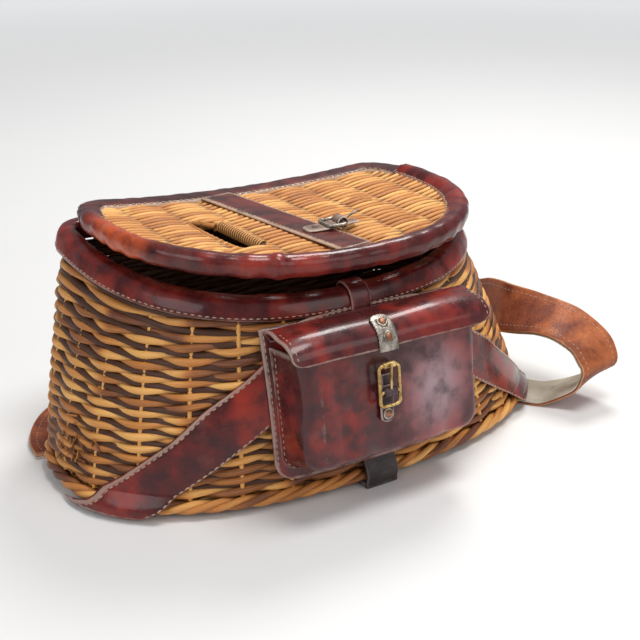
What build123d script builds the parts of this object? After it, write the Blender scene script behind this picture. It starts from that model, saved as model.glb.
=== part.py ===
from build123d import *
import os
from math import atan, cos, pi, sin

os.makedirs("parts", exist_ok=True)

# Antique wicker creel. X runs along the basket, -Y is the front, +Z is up, and the origin is on the
# floor under the middle of the base.  Every size is in millimetres.

# ---------------------------------------------------------------- driving dimensions

# The basket's outline at the foot and at the rim, and the way the wall changes between them
foot_half_length = 190.0
foot_front = 95.0
foot_widest = 19.0
foot_back = 95.0
foot_corner = 125.0
foot_squareness = 2.4
rim_half_length = 147.0
rim_front = 77.0
rim_widest = 74.0
rim_back = 101.0
rim_corner = 119.0
rim_squareness = 2.6
wall_bulge = 3.5
back_hollow = 2.0
sideways_lean = -6.3
wall_thickness = 8.0

# Heights
strap_layer = 4.0
layer_gap = 0.3
rim_height = 132.2
rim_slope = 0.10
rim_saddle = 4.5
border_height = 9.0
border_stand_out = 3.0
border_rounding = 3.4
base_panel_thickness = 5.0
base_panel_lift = 1.0

# Rim
rim_leather = 2.3
rim_binding_height = 12.5
rim_binding_depth = 10.6
wall_tuck = 3.0

# Lid, which bows down in the middle like the rim
lid_height = 158.0
lid_saddle = 7.5
lid_tilt = 0.018
lid_half_length = 139.0
lid_center_x = -7.0
lid_front = 88.0
lid_widest = 40.0
lid_back = 98.5
lid_corner = 108.0
lid_squareness = 2.4
panel_above = 2.6
panel_below = 1.4
lid_leather = 2.2
roll_width = 16.0
roll_above = 9.0
roll_below = 6.0
roll_rounding = 4.0
roll_end_y = 58.0
lid_hoop_width = 9.0
lid_hoop_above = 6.3
lid_hoop_below = 3.3
back_binding_width = 19.0
back_binding_above = 4.6
back_binding_below = 2.8
back_binding_leather = 1.2
fish_hole = [(-76, 32), (-59, 20), (-54, -36), (-72, -31)]
cane_line = [(-62.5, 16), (-58.5, -32)]
cane_wrap_radius = 3.0
center_band_width = 27.0
center_band_leather = 2.0
center_band_back = (-29.5, 74.0)
center_band_front = (-4.5, -68.0)

# Leather hinges
hinge_y = 104.2
hinge_rise = 3.5
hinge_roll_radius = 2.5
hinge_leather = 2.0
sleeve_leather = 2.8
hinge_width = 24.0
hinge_places = [("left", -82.0, 4.9), ("center", -33.0, 2.6), ("right", 66.0, 4.5)]
hinge_tab_reach = 25.0
hinge_tail = 42.0
running_clearance = 0.08

# Straps on the wall
band_leather = 2.6
band_gap = 0.4
arch_upper_edge = [(44, 123.6), (75, 99), (90, 88), (114, 72), (132, 55.5), (152, 39), (171, 22), (194, 1)]
arch_lower_edge = [(0, 90), (45, 82), (77, 60), (98, 46), (118, 32.5), (137, 20), (155, 8), (165, 1)]
under_corners = [(-198, -12), (-160, -68), (-146, -50), (-150, 49.5), (-198, 42)]
tab_width = 15.0
tab_x = -8.0
tab_leather = 2.0
base_strap_width = 25.0
base_strap_x = -2.0
base_strap_front_top = 70.0

# Pouch, laid on the leaning front of the wall; its own measures are across, up and out
pouch_x = -8.5
pouch_height = 75.0
pouch_stand_off = 3.6
panel_half_width = 72.0
panel_bottom = -53.0
panel_top = 48.8
panel_corner = 14.0
panel_leather = 2.2
box_half_width = 68.0
box_front_half_width = 66.0
box_bottom = -43.0
box_front_bottom = -37.0
box_top = 37.0
box_depth = 34.0
box_corner = 12.0
box_rounding = 6.0
box_leather = 2.6
flap_left = 74.0
flap_right = 78.0
flap_leather = 2.4
flap_line = [(6.0, 50.0), (14.0, 51.2), (24.0, 49.8), (31.0, 46.2), (35.6, 40.5), (36.8, 33.0)]
flap_corner = 9.0
flap_roll_radius = 2.2
flap_roll_half_length = 40.0
flap_socket_leather = 1.4
web_thickness = 2.6
web_drop = 8.0
plate_width = 14.0
plate_thickness = 1.2
plate_x = -6.0

# Buckles
wire_radius = 1.2
prong_radius = 0.8
prong_width = 2.4
pouch_buckle_x = -8.5
pouch_buckle_width = 15.0
pouch_buckle_top = 22.6
pouch_buckle_bar = 5.0
pouch_buckle_bottom = -4.0
pouch_buckle_out = 40.2
frame_corner = 3.0
roller_radius = 2.1
chape_width = 9.4
chape_slot = 3.4
chape_leather = 1.8
chape_end = -15.0
chape_rivet = -10.5
lid_buckle_x = -4.0
lid_buckle_y = -28.0
lid_buckle_width = 15.6
lid_buckle_length = 12.5
lid_buckle_above = 8.6
lid_chape_reach = 14.0
stub_left = 15.0
stub_right = 8.0
stub_width = 12.4
stub_hole_radius = 1.6
rivet_radius = 3.4
rivet_height = 1.4

# Shoulder strap: centre points along its run, and the direction across its width at each of them
strap_width = 40.0
strap_leather = 1.9
strap_lining = 1.9
strap_run = [
    ((124, 8, 2.0), (30, 27, 0)),
    ((150, -16, 2.0), (30, 27, 0)),
    ((172, -41, 2.0), (30, 26, 0)),
    ((178, -49, 2.0), (30, 26, 0)),
    ((184, -56, 2.8), (30, 26, 0)),
    ((194, -68, 9.5), (32, 24, -2)),
    ((202, -80, 19.5), (36, 17, 0)),
    ((206, -89, 33), (40, 4, 0)),
    ((206, -85, 43), (40, 3, 6)),
    ((205, -76, 51), (39, 5, 8)),
    ((200, -58, 58.5), (36, 11, 14)),
    ((195, -41, 60), (32, 17, 17)),
    ((190, -22, 58.5), (25, 21, 23)),
    ((189, 0, 55), (20, 20, 28)),
    ((196, 24, 50), (18, 20, 30)),
    ((202, 48, 43), (20, 20, 28)),
    ((201, 71, 33), (25, 20, 24)),
    ((189, 92, 21), (31, 18, 18)),
    ((172, 112, 11), (31, 24, 10)),
    ((144, 127, 4.5), (23, 33, 3)),
    ((103, 134, 2.0), (9, 39, 0)),
    ((50, 136, 2.0), (2, 40, 0)),
    ((0, 135, 2.0), (0, 40, 0)),
    ((-52, 134, 2.0), (-2, 40, 0)),
    ((-104, 128, 2.0), (-15, 37, 0)),
    ((-146, 110, 2.0), (-29, 27, 0)),
    ((-167, 80, 2.0), (-39, 8, 0)),
    ((-171, 55, 2.0), (-40, 0, 0)),
]


# ---------------------------------------------------------------- the shape of the wall

foot_z = strap_layer + layer_gap


def between(low, high, share):
    return low + (high - low) * share


def rise_plane(rise):
    """The plane of the basket's cross-section: 0 at the foot, 1 at the stitched rim edge."""
    origin = (sideways_lean * rise, 0, between(foot_z, rim_height, rise))
    tilt = atan(rim_slope) * rise
    return Plane(origin=origin, x_dir=(1, 0, 0), z_dir=(0, -sin(tilt), cos(tilt)))


def oval_points(half_length, front, widest, back, corner, squareness):
    """Points from the left back corner round the front to the right back corner."""
    points = []
    for step in range(5):
        angle = pi / 2 * (1 - step / 5)
        points.append((-corner - (half_length - corner) * cos(angle), widest + (back - widest) * sin(angle)))
    for step in range(17):
        angle = pi * (1 - step / 16)
        side = 1 if cos(angle) > 0 else -1
        x = half_length * side * abs(cos(angle)) ** (2 / squareness)
        y = widest - (widest + front) * abs(sin(angle)) ** (2 / squareness)
        points.append((x, y))
    for step in range(1, 6):
        angle = pi / 2 * step / 5
        points.append((corner + (half_length - corner) * cos(angle), widest + (back - widest) * sin(angle)))
    return points


def oval(half_length, front, widest, back, corner, squareness, mode=Mode.ADD):
    """A closed bean-shaped outline drawn in the sketch that is open."""
    with BuildLine() as outline:
        Spline(oval_points(half_length, front, widest, back, corner, squareness))
        ThreePointArc((corner, back), (0, back - back_hollow), (-corner, back))
    make_face(outline.edges(), mode=mode)


def wall_section(rise, offset, mode=Mode.ADD):
    """The wall's outline at one height, moved outwards by offset."""
    swell = wall_bulge * 4 * rise * (1 - rise) + offset
    oval(
        between(foot_half_length, rim_half_length, rise) + swell,
        between(foot_front, rim_front, rise) + swell,
        between(foot_widest, rim_widest, rise),
        between(foot_back, rim_back, rise) + swell,
        between(foot_corner, rim_corner, rise),
        between(foot_squareness, rim_squareness, rise),
        mode,
    )


def wall_front_y(rise):
    """The front of the wall's outer face, on the centre line, at one rise."""
    return -between(foot_front, rim_front, rise) - wall_bulge * 4 * rise * (1 - rise)


def wall_core(offset, low, high, steps=4):
    """A solid filled out to the wall's outer face plus offset, between two rises."""
    with BuildPart() as core:
        for step in range(steps + 1):
            rise = between(low, high, step / steps)
            with BuildSketch(rise_plane(rise)):
                wall_section(rise, offset)
        loft()
    return core.part


def saddle_slab(low, high):
    """A slab between two saddle surfaces, measured up from the stitched rim edge."""
    reach = foot_half_length
    sag = rim_saddle * (reach / rim_half_length) ** 2
    rim = rise_plane(1)
    across = Plane(origin=rim.origin, x_dir=(-1, 0, 0), z_dir=rim.y_dir)
    with BuildPart() as slab:
        with BuildSketch(across):
            with BuildLine():
                ThreePointArc((-reach, low + sag), (0, low), (reach, low + sag))
                Line((reach, low + sag), (reach, high + sag))
                ThreePointArc((reach, high + sag), (0, high), (-reach, high + sag))
                Line((-reach, high + sag), (-reach, low + sag))
            make_face()
        extrude(amount=reach, both=True)
    return slab.part


ring_bottom_rise = 0.93
ring_top_rise = 1.16


def rim_ring(outer, inner, low, high):
    """A ring round the rim between two offsets from the wall and two heights above the stitched edge."""
    with BuildPart() as ring:
        add(wall_core(outer, ring_bottom_rise, ring_top_rise, 2))
        add(wall_core(inner, ring_bottom_rise - 0.01, ring_top_rise + 0.01, 2), mode=Mode.SUBTRACT)
        add(saddle_slab(low, high), mode=Mode.INTERSECT)
    return ring.part


def save(builder, name):
    builder.part.label = name
    export_step(builder.part, f"parts/{name}.step")


def leather_layer(inner, outer, low, high):
    """A layer lying on the wall, which steps out over the border at the foot."""
    top = border_height / (rim_height - foot_z)
    steps = [(0, 1.1), (0.6 * top, 1.75), (top, 1.35), (1.7 * top, 0)]
    steps += [(0.14 * count, 0) for count in range(2, 8)]
    steps = [(low, 0 if low else 1.1)] + [step for step in steps if low < step[0] < high] + [(high, 0)]
    with BuildPart() as layer:
        for offset in (outer, inner):
            for level, share in steps:
                with BuildSketch(rise_plane(level)):
                    wall_section(level, offset + border_stand_out * share)
            loft(ruled=True, mode=Mode.ADD if offset == outer else Mode.SUBTRACT)
    return layer.part


def leaning(points, side=1):
    """Front-view points given from the basket's middle line, which leans to one side."""
    return [(side * x + sideways_lean * (z - foot_z) / (rim_height - foot_z), z) for x, z in points]


# ---------------------------------------------------------------- the basket

wall_foot_rise = 0.6 * border_height / (rim_height - foot_z)
above_all = 400.0

with BuildPart() as basket_wall:
    add(wall_core(0, wall_foot_rise, 1.12, 5))
    add(wall_core(-wall_thickness, wall_foot_rise - 0.03, 1.15, 5), mode=Mode.SUBTRACT)
    add(saddle_slab(wall_tuck, wall_tuck + above_all), mode=Mode.SUBTRACT)
    with BuildSketch():
        Rectangle(2 * above_all, 2 * above_all)
    extrude(amount=foot_z + border_height + layer_gap, mode=Mode.SUBTRACT)
save(basket_wall, "basket_wall")

with BuildPart() as foot_border:
    with BuildSketch(Plane.XY.offset(foot_z)):
        wall_section(0, border_stand_out)
    extrude(amount=border_height)
    border_edges = foot_border.edges().group_by(Axis.Z)
    fillet(border_edges[0] + border_edges[-1], border_rounding)
    with BuildSketch(Plane.XY.offset(foot_z)):
        wall_section(0, -wall_thickness)
    extrude(amount=border_height, mode=Mode.SUBTRACT)
save(foot_border, "foot_border")

with BuildPart() as base_panel:
    with BuildSketch(Plane.XY.offset(foot_z + base_panel_lift)):
        wall_section(0, -wall_thickness - layer_gap)
    extrude(amount=base_panel_thickness)
save(base_panel, "base_panel")

binding_out = layer_gap + rim_leather
core_top = rim_binding_height - rim_leather

with BuildPart() as rim_binding:
    add(rim_ring(binding_out, -rim_binding_depth, 0, rim_binding_height))
    add(rim_ring(layer_gap, rim_leather - rim_binding_depth, -1, core_top), mode=Mode.SUBTRACT)
save(rim_binding, "rim_binding")

with BuildPart() as rim_hoop:
    add(rim_ring(0, layer_gap - wall_thickness, wall_tuck + layer_gap, core_top - layer_gap))
save(rim_hoop, "rim_hoop")

# ---------------------------------------------------------------- straps round the basket

front_view = Plane(origin=(0, 0, 0), x_dir=(1, 0, 0), z_dir=(0, -1, 0))
foot_front_reach = foot_front + border_stand_out + band_leather + 10
tab_outer = binding_out + layer_gap + tab_leather

with BuildPart() as harness_front:
    add(leather_layer(band_gap, band_gap + band_leather, 0, 0.99))
    with BuildSketch(front_view):
        with BuildLine() as outline:
            Spline(leaning(arch_upper_edge))
            Line(leaning(arch_upper_edge[-1:]) + leaning(arch_lower_edge[-1:]))
            Spline(leaning(arch_lower_edge[::-1]) + leaning(arch_lower_edge[1:], -1))
            Line(leaning(arch_lower_edge[-1:], -1) + leaning(arch_upper_edge[-1:], -1))
            Spline(leaning(arch_upper_edge[::-1], -1))
            Line(leaning(arch_upper_edge[:1], -1) + leaning(arch_upper_edge[:1]))
        make_face(outline.edges())
    extrude(amount=foot_front_reach, mode=Mode.INTERSECT)
save(harness_front, "harness_front")

with BuildPart() as harness_under_left:
    with BuildSketch():
        wall_section(0, 1.1 * border_stand_out + band_gap + band_leather)
        with BuildLine() as outline:
            Polyline(under_corners, close=True)
        make_face(outline.edges(), mode=Mode.INTERSECT)
    extrude(amount=strap_layer)
save(harness_under_left, "harness_under_left")

with BuildPart() as base_strap:
    with BuildSketch():
        wall_section(0, 1.1 * border_stand_out + band_gap + band_leather)
        with Locations((base_strap_x, 0)):
            Rectangle(base_strap_width, 2 * above_all, mode=Mode.INTERSECT)
    extrude(amount=strap_layer)
save(base_strap, "base_strap")

with BuildPart() as base_strap_front:
    add(leather_layer(band_gap, band_gap + band_leather, 0, base_strap_front_top / rim_height))
    with BuildSketch(front_view):
        with Locations((base_strap_x, 0)):
            Rectangle(base_strap_width, 2 * above_all)
    extrude(amount=foot_front_reach, mode=Mode.INTERSECT)
save(base_strap_front, "base_strap_front")

with BuildPart() as base_strap_back:
    add(leather_layer(band_gap, band_gap + band_leather, 0, 0.98))
    with BuildSketch(front_view):
        with Locations((base_strap_x, 0)):
            Rectangle(base_strap_width, 2 * above_all)
    extrude(amount=-foot_front_reach, mode=Mode.INTERSECT)
save(base_strap_back, "base_strap_back")

with BuildPart() as closing_tab:
    tab_inner = -rim_binding_depth - layer_gap
    tab_top = rim_binding_height + layer_gap
    add(rim_ring(tab_outer, tab_inner - tab_leather, 2 * layer_gap, tab_top + tab_leather))
    add(rim_ring(tab_outer - tab_leather, tab_inner, -layer_gap, tab_top), mode=Mode.SUBTRACT)
    with BuildSketch(front_view):
        with Locations((tab_x, 0)):
            Rectangle(tab_width, 2 * above_all)
    extrude(amount=foot_front_reach, mode=Mode.INTERSECT)
save(closing_tab, "closing_tab")

# ---------------------------------------------------------------- the lid


def lid_height_at(x):
    """Height of the middle of the lid, which bows down between its ends."""
    return lid_height + lid_saddle * ((x - lid_center_x) / lid_half_length) ** 2 - lid_tilt * x


def lid_curve(high):
    points = [(x, lid_height_at(x) + high) for x in (-160, -120, -80, -40, 0, 40, 80, 120, 150)]
    Spline(points)
    return points


def lid_slab(low, high, back_y, front_y):
    """A slab that follows the lid's bow, between two depths."""
    with BuildPart() as slab:
        with BuildSketch(Plane(origin=(0, back_y, 0), x_dir=(1, 0, 0), z_dir=(0, -1, 0))):
            with BuildLine() as outline:
                lower = lid_curve(low)
                upper = lid_curve(high)
                Line(lower[0], upper[0])
                Line(lower[-1], upper[-1])
            make_face(outline.edges())
        extrude(amount=back_y - front_y)
    return slab.part


def lid_outline(offset, mode=Mode.ADD):
    with Locations((lid_center_x, 0)):
        add(lid_sketch(offset), mode=mode)


def lid_sketch(offset):
    with BuildSketch() as outline:
        half_length = lid_half_length + offset
        oval(half_length, lid_front + offset, lid_widest, lid_back + offset, lid_corner, lid_squareness)
    return outline.sketch


def lid_column(outer, inner):
    """An upright ring between two offsets from the lid's edge."""
    with BuildPart() as column:
        with BuildSketch():
            lid_outline(outer)
            lid_outline(inner, Mode.SUBTRACT)
        extrude(amount=above_all)
    return column.part


far = 120.0
front_seam = roll_end_y
back_seam = roll_end_y + layer_gap

with BuildPart() as lid_binding_front:
    add(lid_column(0, -roll_width))
    add(lid_slab(-roll_below, roll_above, front_seam, -far), mode=Mode.INTERSECT)
    fillet(lid_binding_front.edges().filter_by(lambda edge: edge.length > lid_half_length), roll_rounding)
    with BuildPart(mode=Mode.PRIVATE) as cavity:
        add(lid_column(-lid_leather, -roll_width - 1))
        cavity_low = lid_leather - roll_below
        add(lid_slab(cavity_low, roll_above - lid_leather, far, -far), mode=Mode.INTERSECT)
    add(cavity.part, mode=Mode.SUBTRACT)
save(lid_binding_front, "lid_binding_front")

with BuildPart() as lid_hoop:
    hoop_out = lid_leather + layer_gap
    add(lid_column(-hoop_out, -hoop_out - lid_hoop_width))
    add(lid_slab(-lid_hoop_below, lid_hoop_above, front_seam - 1, -far), mode=Mode.INTERSECT)
save(lid_hoop, "lid_hoop")

with BuildPart() as lid_binding_back:
    add(lid_column(0, -back_binding_width))
    add(lid_slab(-back_binding_below, back_binding_above, far, back_seam), mode=Mode.INTERSECT)
    with BuildPart(mode=Mode.PRIVATE) as cavity:
        add(lid_column(-lid_leather, -back_binding_width - 1))
        cavity_low = back_binding_leather - back_binding_below
        cavity_high = back_binding_above - back_binding_leather
        add(lid_slab(cavity_low, cavity_high, far, -far), mode=Mode.INTERSECT)
    add(cavity.part, mode=Mode.SUBTRACT)
save(lid_binding_back, "lid_binding_back")

with BuildPart() as lid_panel:
    with BuildSketch():
        lid_outline(-hoop_out - lid_hoop_width - layer_gap)
        with BuildSketch(mode=Mode.PRIVATE) as back_part:
            lid_outline(-hoop_out)
            with Locations((0, back_seam)):
                Rectangle(2 * above_all, 2 * far, align=(Align.CENTER, Align.MIN), mode=Mode.INTERSECT)
        add(back_part.sketch)
        with BuildLine() as hole:
            Polyline(fish_hole, close=True)
        make_face(hole.edges(), mode=Mode.SUBTRACT)
    extrude(amount=above_all)
    add(lid_slab(-panel_below, panel_above, far, -far), mode=Mode.INTERSECT)
save(lid_panel, "lid_panel")

cane_ends = [(x, y, lid_height_at(x) + (panel_above - panel_below) / 2) for x, y in cane_line]
cane_axis = Plane(origin=cane_ends[0], z_dir=Vector(*cane_ends[1]) - Vector(*cane_ends[0]))

with BuildPart() as fish_hole_wrap:
    with BuildSketch(cane_axis):
        Circle(cane_wrap_radius)
    extrude(amount=(Vector(*cane_ends[1]) - Vector(*cane_ends[0])).length)
save(fish_hole_wrap, "fish_hole_wrap")

band_low = panel_above + layer_gap
band_high = band_low + center_band_leather
band_run = Vector(*center_band_front) - Vector(*center_band_back)

with BuildPart() as lid_center_band:
    with BuildSketch(Plane(origin=(*center_band_back, 0), x_dir=band_run, z_dir=(0, 0, 1))):
        Rectangle(band_run.length, center_band_width, align=(Align.MIN, Align.CENTER))
    extrude(amount=above_all)
    add(lid_slab(band_low, band_high, far, -far), mode=Mode.INTERSECT)
save(lid_center_band, "lid_center_band")

# ---------------------------------------------------------------- leather hinges of the lid

hinge_x_dir = Vector(1, 0, -lid_tilt).normalized()
hinge_z = lid_height_at(lid_center_x) + hinge_rise
sleeve_inner = hinge_roll_radius + running_clearance
sleeve_outer = sleeve_inner + sleeve_leather
sleeve_start = 50
sleeve_end = 200

for side, hinge_x, tab_low in hinge_places:
    rolled_out = hinge_z - lid_tilt * (hinge_x - lid_center_x)
    hinge_plane = Plane(origin=(hinge_x, hinge_y, rolled_out), x_dir=(0, 1, 0), z_dir=hinge_x_dir)

    with BuildPart() as hinge_lower:
        with BuildSketch(hinge_plane):
            Circle(hinge_roll_radius)
            Rectangle(hinge_leather, hinge_tail, align=(Align.CENTER, Align.MAX))
        extrude(amount=hinge_width / 2, both=True)
    save(hinge_lower, f"hinge_lower_{side}")

    with BuildPart() as hinge_upper:
        with BuildSketch(hinge_plane):
            Circle(sleeve_outer)
            Circle(sleeve_inner, mode=Mode.SUBTRACT)
            with BuildLine() as sector:
                corners = [(0, 0)]
                for degree in (sleeve_start, 90, 125, 160, sleeve_end):
                    corners.append((20 * cos(degree * pi / 180), 20 * sin(degree * pi / 180)))
                Polyline(corners, close=True)
            make_face(sector.edges(), mode=Mode.INTERSECT)
            with Locations((0, tab_low)):
                Rectangle(hinge_tab_reach, hinge_leather, align=(Align.MAX, Align.MIN))
        extrude(amount=hinge_width / 2, both=True)
    save(hinge_upper, f"hinge_upper_{side}")

# ---------------------------------------------------------------- the strap end and buckle on the lid

bar_x = lid_buckle_x + lid_buckle_length
lid_buckle_z = lid_height_at(bar_x) + lid_buckle_above
lid_buckle_plane = Plane(origin=(bar_x, lid_buckle_y, lid_buckle_z), x_dir=(1, 0, 0), z_dir=(0, 0, 1))
lid_side_view = Plane(origin=(bar_x, lid_buckle_y, lid_buckle_z), x_dir=(1, 0, 0), z_dir=(0, -1, 0))
knuckle_inner = wire_radius + running_clearance
knuckle_outer = knuckle_inner + chape_leather
prong_outer = knuckle_inner + 1.1


with BuildPart() as lid_buckle_frame:
    with BuildLine(lid_buckle_plane) as frame_wire:
        half = lid_buckle_width / 2
        far_x = -lid_buckle_length
        FilletPolyline((0, -half), (far_x, -half), (far_x, half), (0, half), radius=frame_corner)
    with BuildSketch(Plane(origin=frame_wire.line @ 0, z_dir=frame_wire.line % 0)):
        Circle(wire_radius)
    sweep()
    with BuildSketch(lid_side_view.offset(-half - wire_radius)):
        Circle(wire_radius)
    extrude(amount=2 * (half + wire_radius))
save(lid_buckle_frame, "lid_buckle_frame")

with BuildPart() as lid_buckle_prong:
    with BuildSketch(lid_side_view):
        Circle(prong_outer)
        Circle(knuckle_inner, mode=Mode.SUBTRACT)
    extrude(amount=prong_width / 2, both=True)
    with BuildSketch(Plane(origin=lid_side_view.from_local_coords((1.7, 0.9, 0)), z_dir=(1, 0, 0.35))):
        Circle(prong_radius)
    extrude(amount=lid_buckle_length + 1)
save(lid_buckle_prong, "lid_buckle_prong")

with BuildPart() as lid_buckle_chape:
    with BuildSketch(lid_side_view):
        Circle(knuckle_outer)
        with Locations((0, -knuckle_outer)):
            Rectangle(lid_chape_reach, chape_leather, align=(Align.MIN, Align.MIN))
        Circle(knuckle_inner, mode=Mode.SUBTRACT)
    extrude(amount=chape_width / 2, both=True)
    with BuildSketch(lid_buckle_plane):
        with Locations((-knuckle_outer, 0)):
            Rectangle(2 * knuckle_outer + 0.6, chape_slot, align=(Align.MIN, Align.CENTER))
    extrude(amount=above_all, both=True, mode=Mode.SUBTRACT)
save(lid_buckle_chape, "lid_buckle_chape")

with BuildPart() as lid_strap_stub:
    stub_low = band_high + layer_gap
    with BuildSketch(Plane(origin=(lid_buckle_x, lid_buckle_y, 0))):
        Rectangle(stub_left, stub_width, align=(Align.MAX, Align.CENTER))
        Rectangle(stub_right, stub_width, align=(Align.MIN, Align.CENTER))
        with Locations((-stub_left * 0.5, 0)):
            Circle(stub_hole_radius, mode=Mode.SUBTRACT)
    extrude(amount=above_all)
    fillet(lid_strap_stub.edges().filter_by(Axis.Z).group_by(Axis.X)[0], stub_width * 0.4)
    add(lid_slab(stub_low, stub_low + chape_leather, far, -far), mode=Mode.INTERSECT)
save(lid_strap_stub, "lid_strap_stub")

# ---------------------------------------------------------------- the pouch on the front

pouch_rise = (pouch_height - foot_z) / (rim_height - foot_z - rim_slope * rim_front)
pouch_lean = atan((foot_front - rim_front) / (rim_height - foot_z))
pouch_plane = Plane(
    origin=(pouch_x, wall_front_y(pouch_rise), pouch_height),
    x_dir=(1, 0, 0),
    z_dir=(0, -cos(pouch_lean), sin(pouch_lean)),
)
pouch_outward = Axis(pouch_plane.origin, pouch_plane.z_dir)
pouch_side = Plane(origin=pouch_plane.origin, x_dir=pouch_plane.z_dir, z_dir=(-1, 0, 0))
panel_out = pouch_stand_off + panel_leather
flap_axis = flap_line[0]
socket_inner = flap_roll_radius + running_clearance
socket_outer = socket_inner + flap_socket_leather


def moved_out(points, distance):
    """The points of a side-view line, moved to the outer side of that line."""
    moved = []
    for place, (out, up) in enumerate(points):
        before = points[max(place - 1, 0)]
        after = points[min(place + 1, len(points) - 1)]
        run = Vector(after[0] - before[0], after[1] - before[1]).normalized()
        moved.append((out - run.Y * distance, up + run.X * distance))
    return moved


def lower_corners(left, right, bottom, top, corner):
    """A panel with rounded lower corners, drawn in the sketch that is open."""
    with BuildLine() as outline:
        FilletPolyline((left, top), (left, bottom), (right, bottom), (right, top), radius=corner)
        Line((right, top), (left, top))
    make_face(outline.edges())


with BuildPart() as pouch_back:
    add(leather_layer(pouch_stand_off, panel_out, 0.12, 1.0))
    with BuildSketch(pouch_plane.offset(-far / 4)):
        lower_corners(-panel_half_width, panel_half_width, panel_bottom, panel_top, panel_corner)
    extrude(amount=far, mode=Mode.INTERSECT)
    with BuildSketch(pouch_side):
        with Locations(flap_axis):
            Circle(socket_outer)
            with BuildLine() as sector:
                corners = [flap_axis]
                for degree in (122, 150, 185, 220, 255, 290, 320):
                    out = flap_axis[0] + 20 * cos(degree * pi / 180)
                    corners.append((out, flap_axis[1] + 20 * sin(degree * pi / 180)))
                Polyline(corners, close=True)
        make_face(sector.edges(), mode=Mode.INTERSECT)
        with Locations((flap_axis[0] - socket_outer, flap_axis[1])):
            Rectangle(web_thickness, web_drop, align=(Align.CENTER, Align.MAX))
        with Locations(flap_axis):
            Circle(socket_inner, mode=Mode.SUBTRACT)
    extrude(amount=flap_roll_half_length, both=True)
save(pouch_back, "pouch_back")


def pouch_body(inset, start, end):
    """The moulded body, a little narrower at its face than where it meets the back panel."""
    with BuildPart() as body:
        for out, half_width, bottom in (
            (start, box_half_width, box_bottom),
            (end, box_front_half_width, box_front_bottom),
        ):
            with BuildSketch(pouch_plane.offset(out)):
                side = half_width - inset
                top = box_top + (far if inset else 0)
                lower_corners(-side, side, bottom + inset, top, box_corner - inset)
        loft()
    return body.part


with BuildPart() as pouch_front:
    add(pouch_body(0, -far / 8, box_depth))
    fillet(pouch_front.faces().sort_by(pouch_outward)[-1].edges(), box_rounding)
    add(pouch_body(box_leather, -far / 8, box_depth - box_leather), mode=Mode.SUBTRACT)
    add(wall_core(panel_out + layer_gap, 0.05, 1.1, 6), mode=Mode.SUBTRACT)
save(pouch_front, "pouch_front")

with BuildPart() as pouch_flap:
    with BuildSketch(pouch_side.offset(-flap_right)):
        with BuildLine():
            Spline(flap_line)
        trace(line_width=flap_leather)
    extrude(amount=flap_left + flap_right)
    with BuildSketch(pouch_plane):
        lower_corners(-flap_left, flap_right, flap_line[-1][1] - 1, far, flap_corner)
    extrude(amount=far, mode=Mode.INTERSECT)
    with BuildSketch(pouch_side):
        with Locations(flap_axis):
            Circle(flap_roll_radius)
    extrude(amount=flap_roll_half_length, both=True)
save(pouch_flap, "pouch_flap")

plate_line = moved_out(flap_line, flap_leather / 2 + layer_gap + plate_thickness / 2)[2:]

with BuildPart() as flap_plate:
    with BuildSketch(pouch_side.offset(-plate_x - plate_width / 2)):
        with BuildLine():
            Spline(plate_line)
        trace(line_width=plate_thickness)
    extrude(amount=plate_width)
save(flap_plate, "flap_plate")

# ---------------------------------------------------------------- the pouch's buckle

buckle_side = Plane(
    origin=pouch_plane.from_local_coords((pouch_buckle_x, pouch_buckle_bar, pouch_buckle_out)),
    x_dir=pouch_plane.z_dir,
    z_dir=(-1, 0, 0),
)
buckle_front = Plane(origin=buckle_side.origin, x_dir=(1, 0, 0), z_dir=pouch_plane.z_dir)
buckle_above = pouch_buckle_top - pouch_buckle_bar
buckle_below = pouch_buckle_bar - pouch_buckle_bottom
chape_low = box_depth + layer_gap - pouch_buckle_out
chape_high = chape_low + chape_leather
half_buckle = pouch_buckle_width / 2

with BuildPart() as pouch_buckle_frame:
    with BuildSketch(buckle_front, mode=Mode.PRIVATE) as frame_shape:
        with Locations((0, (buckle_above - buckle_below) / 2)):
            RectangleRounded(pouch_buckle_width, buckle_above + buckle_below, frame_corner)
    frame_wire = frame_shape.sketch.faces()[0].outer_wire()
    with BuildSketch(Plane(origin=frame_wire @ 0, z_dir=frame_wire % 0)):
        Circle(wire_radius)
    sweep(path=frame_wire)
    with BuildSketch(buckle_side):
        Circle(wire_radius)
    extrude(amount=half_buckle, both=True)
save(pouch_buckle_frame, "pouch_buckle_frame")

with BuildPart() as pouch_buckle_roller:
    with BuildSketch(buckle_side):
        with Locations((0, buckle_above)):
            Circle(roller_radius)
            Circle(knuckle_inner, mode=Mode.SUBTRACT)
    extrude(amount=half_buckle - 3.2, both=True)
save(pouch_buckle_roller, "pouch_buckle_roller")

with BuildPart() as pouch_buckle_prong:
    with BuildSketch(buckle_side):
        Circle(prong_outer)
        Circle(knuckle_inner, mode=Mode.SUBTRACT)
    extrude(amount=prong_width / 2, both=True)
    prong_run = pouch_plane.y_dir + pouch_plane.z_dir * 0.115
    with BuildSketch(Plane(origin=buckle_side.from_local_coords((1.5, 1.1, 0)), z_dir=prong_run)):
        Circle(prong_radius)
    extrude(amount=buckle_above + 1)
save(pouch_buckle_prong, "pouch_buckle_prong")

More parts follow.
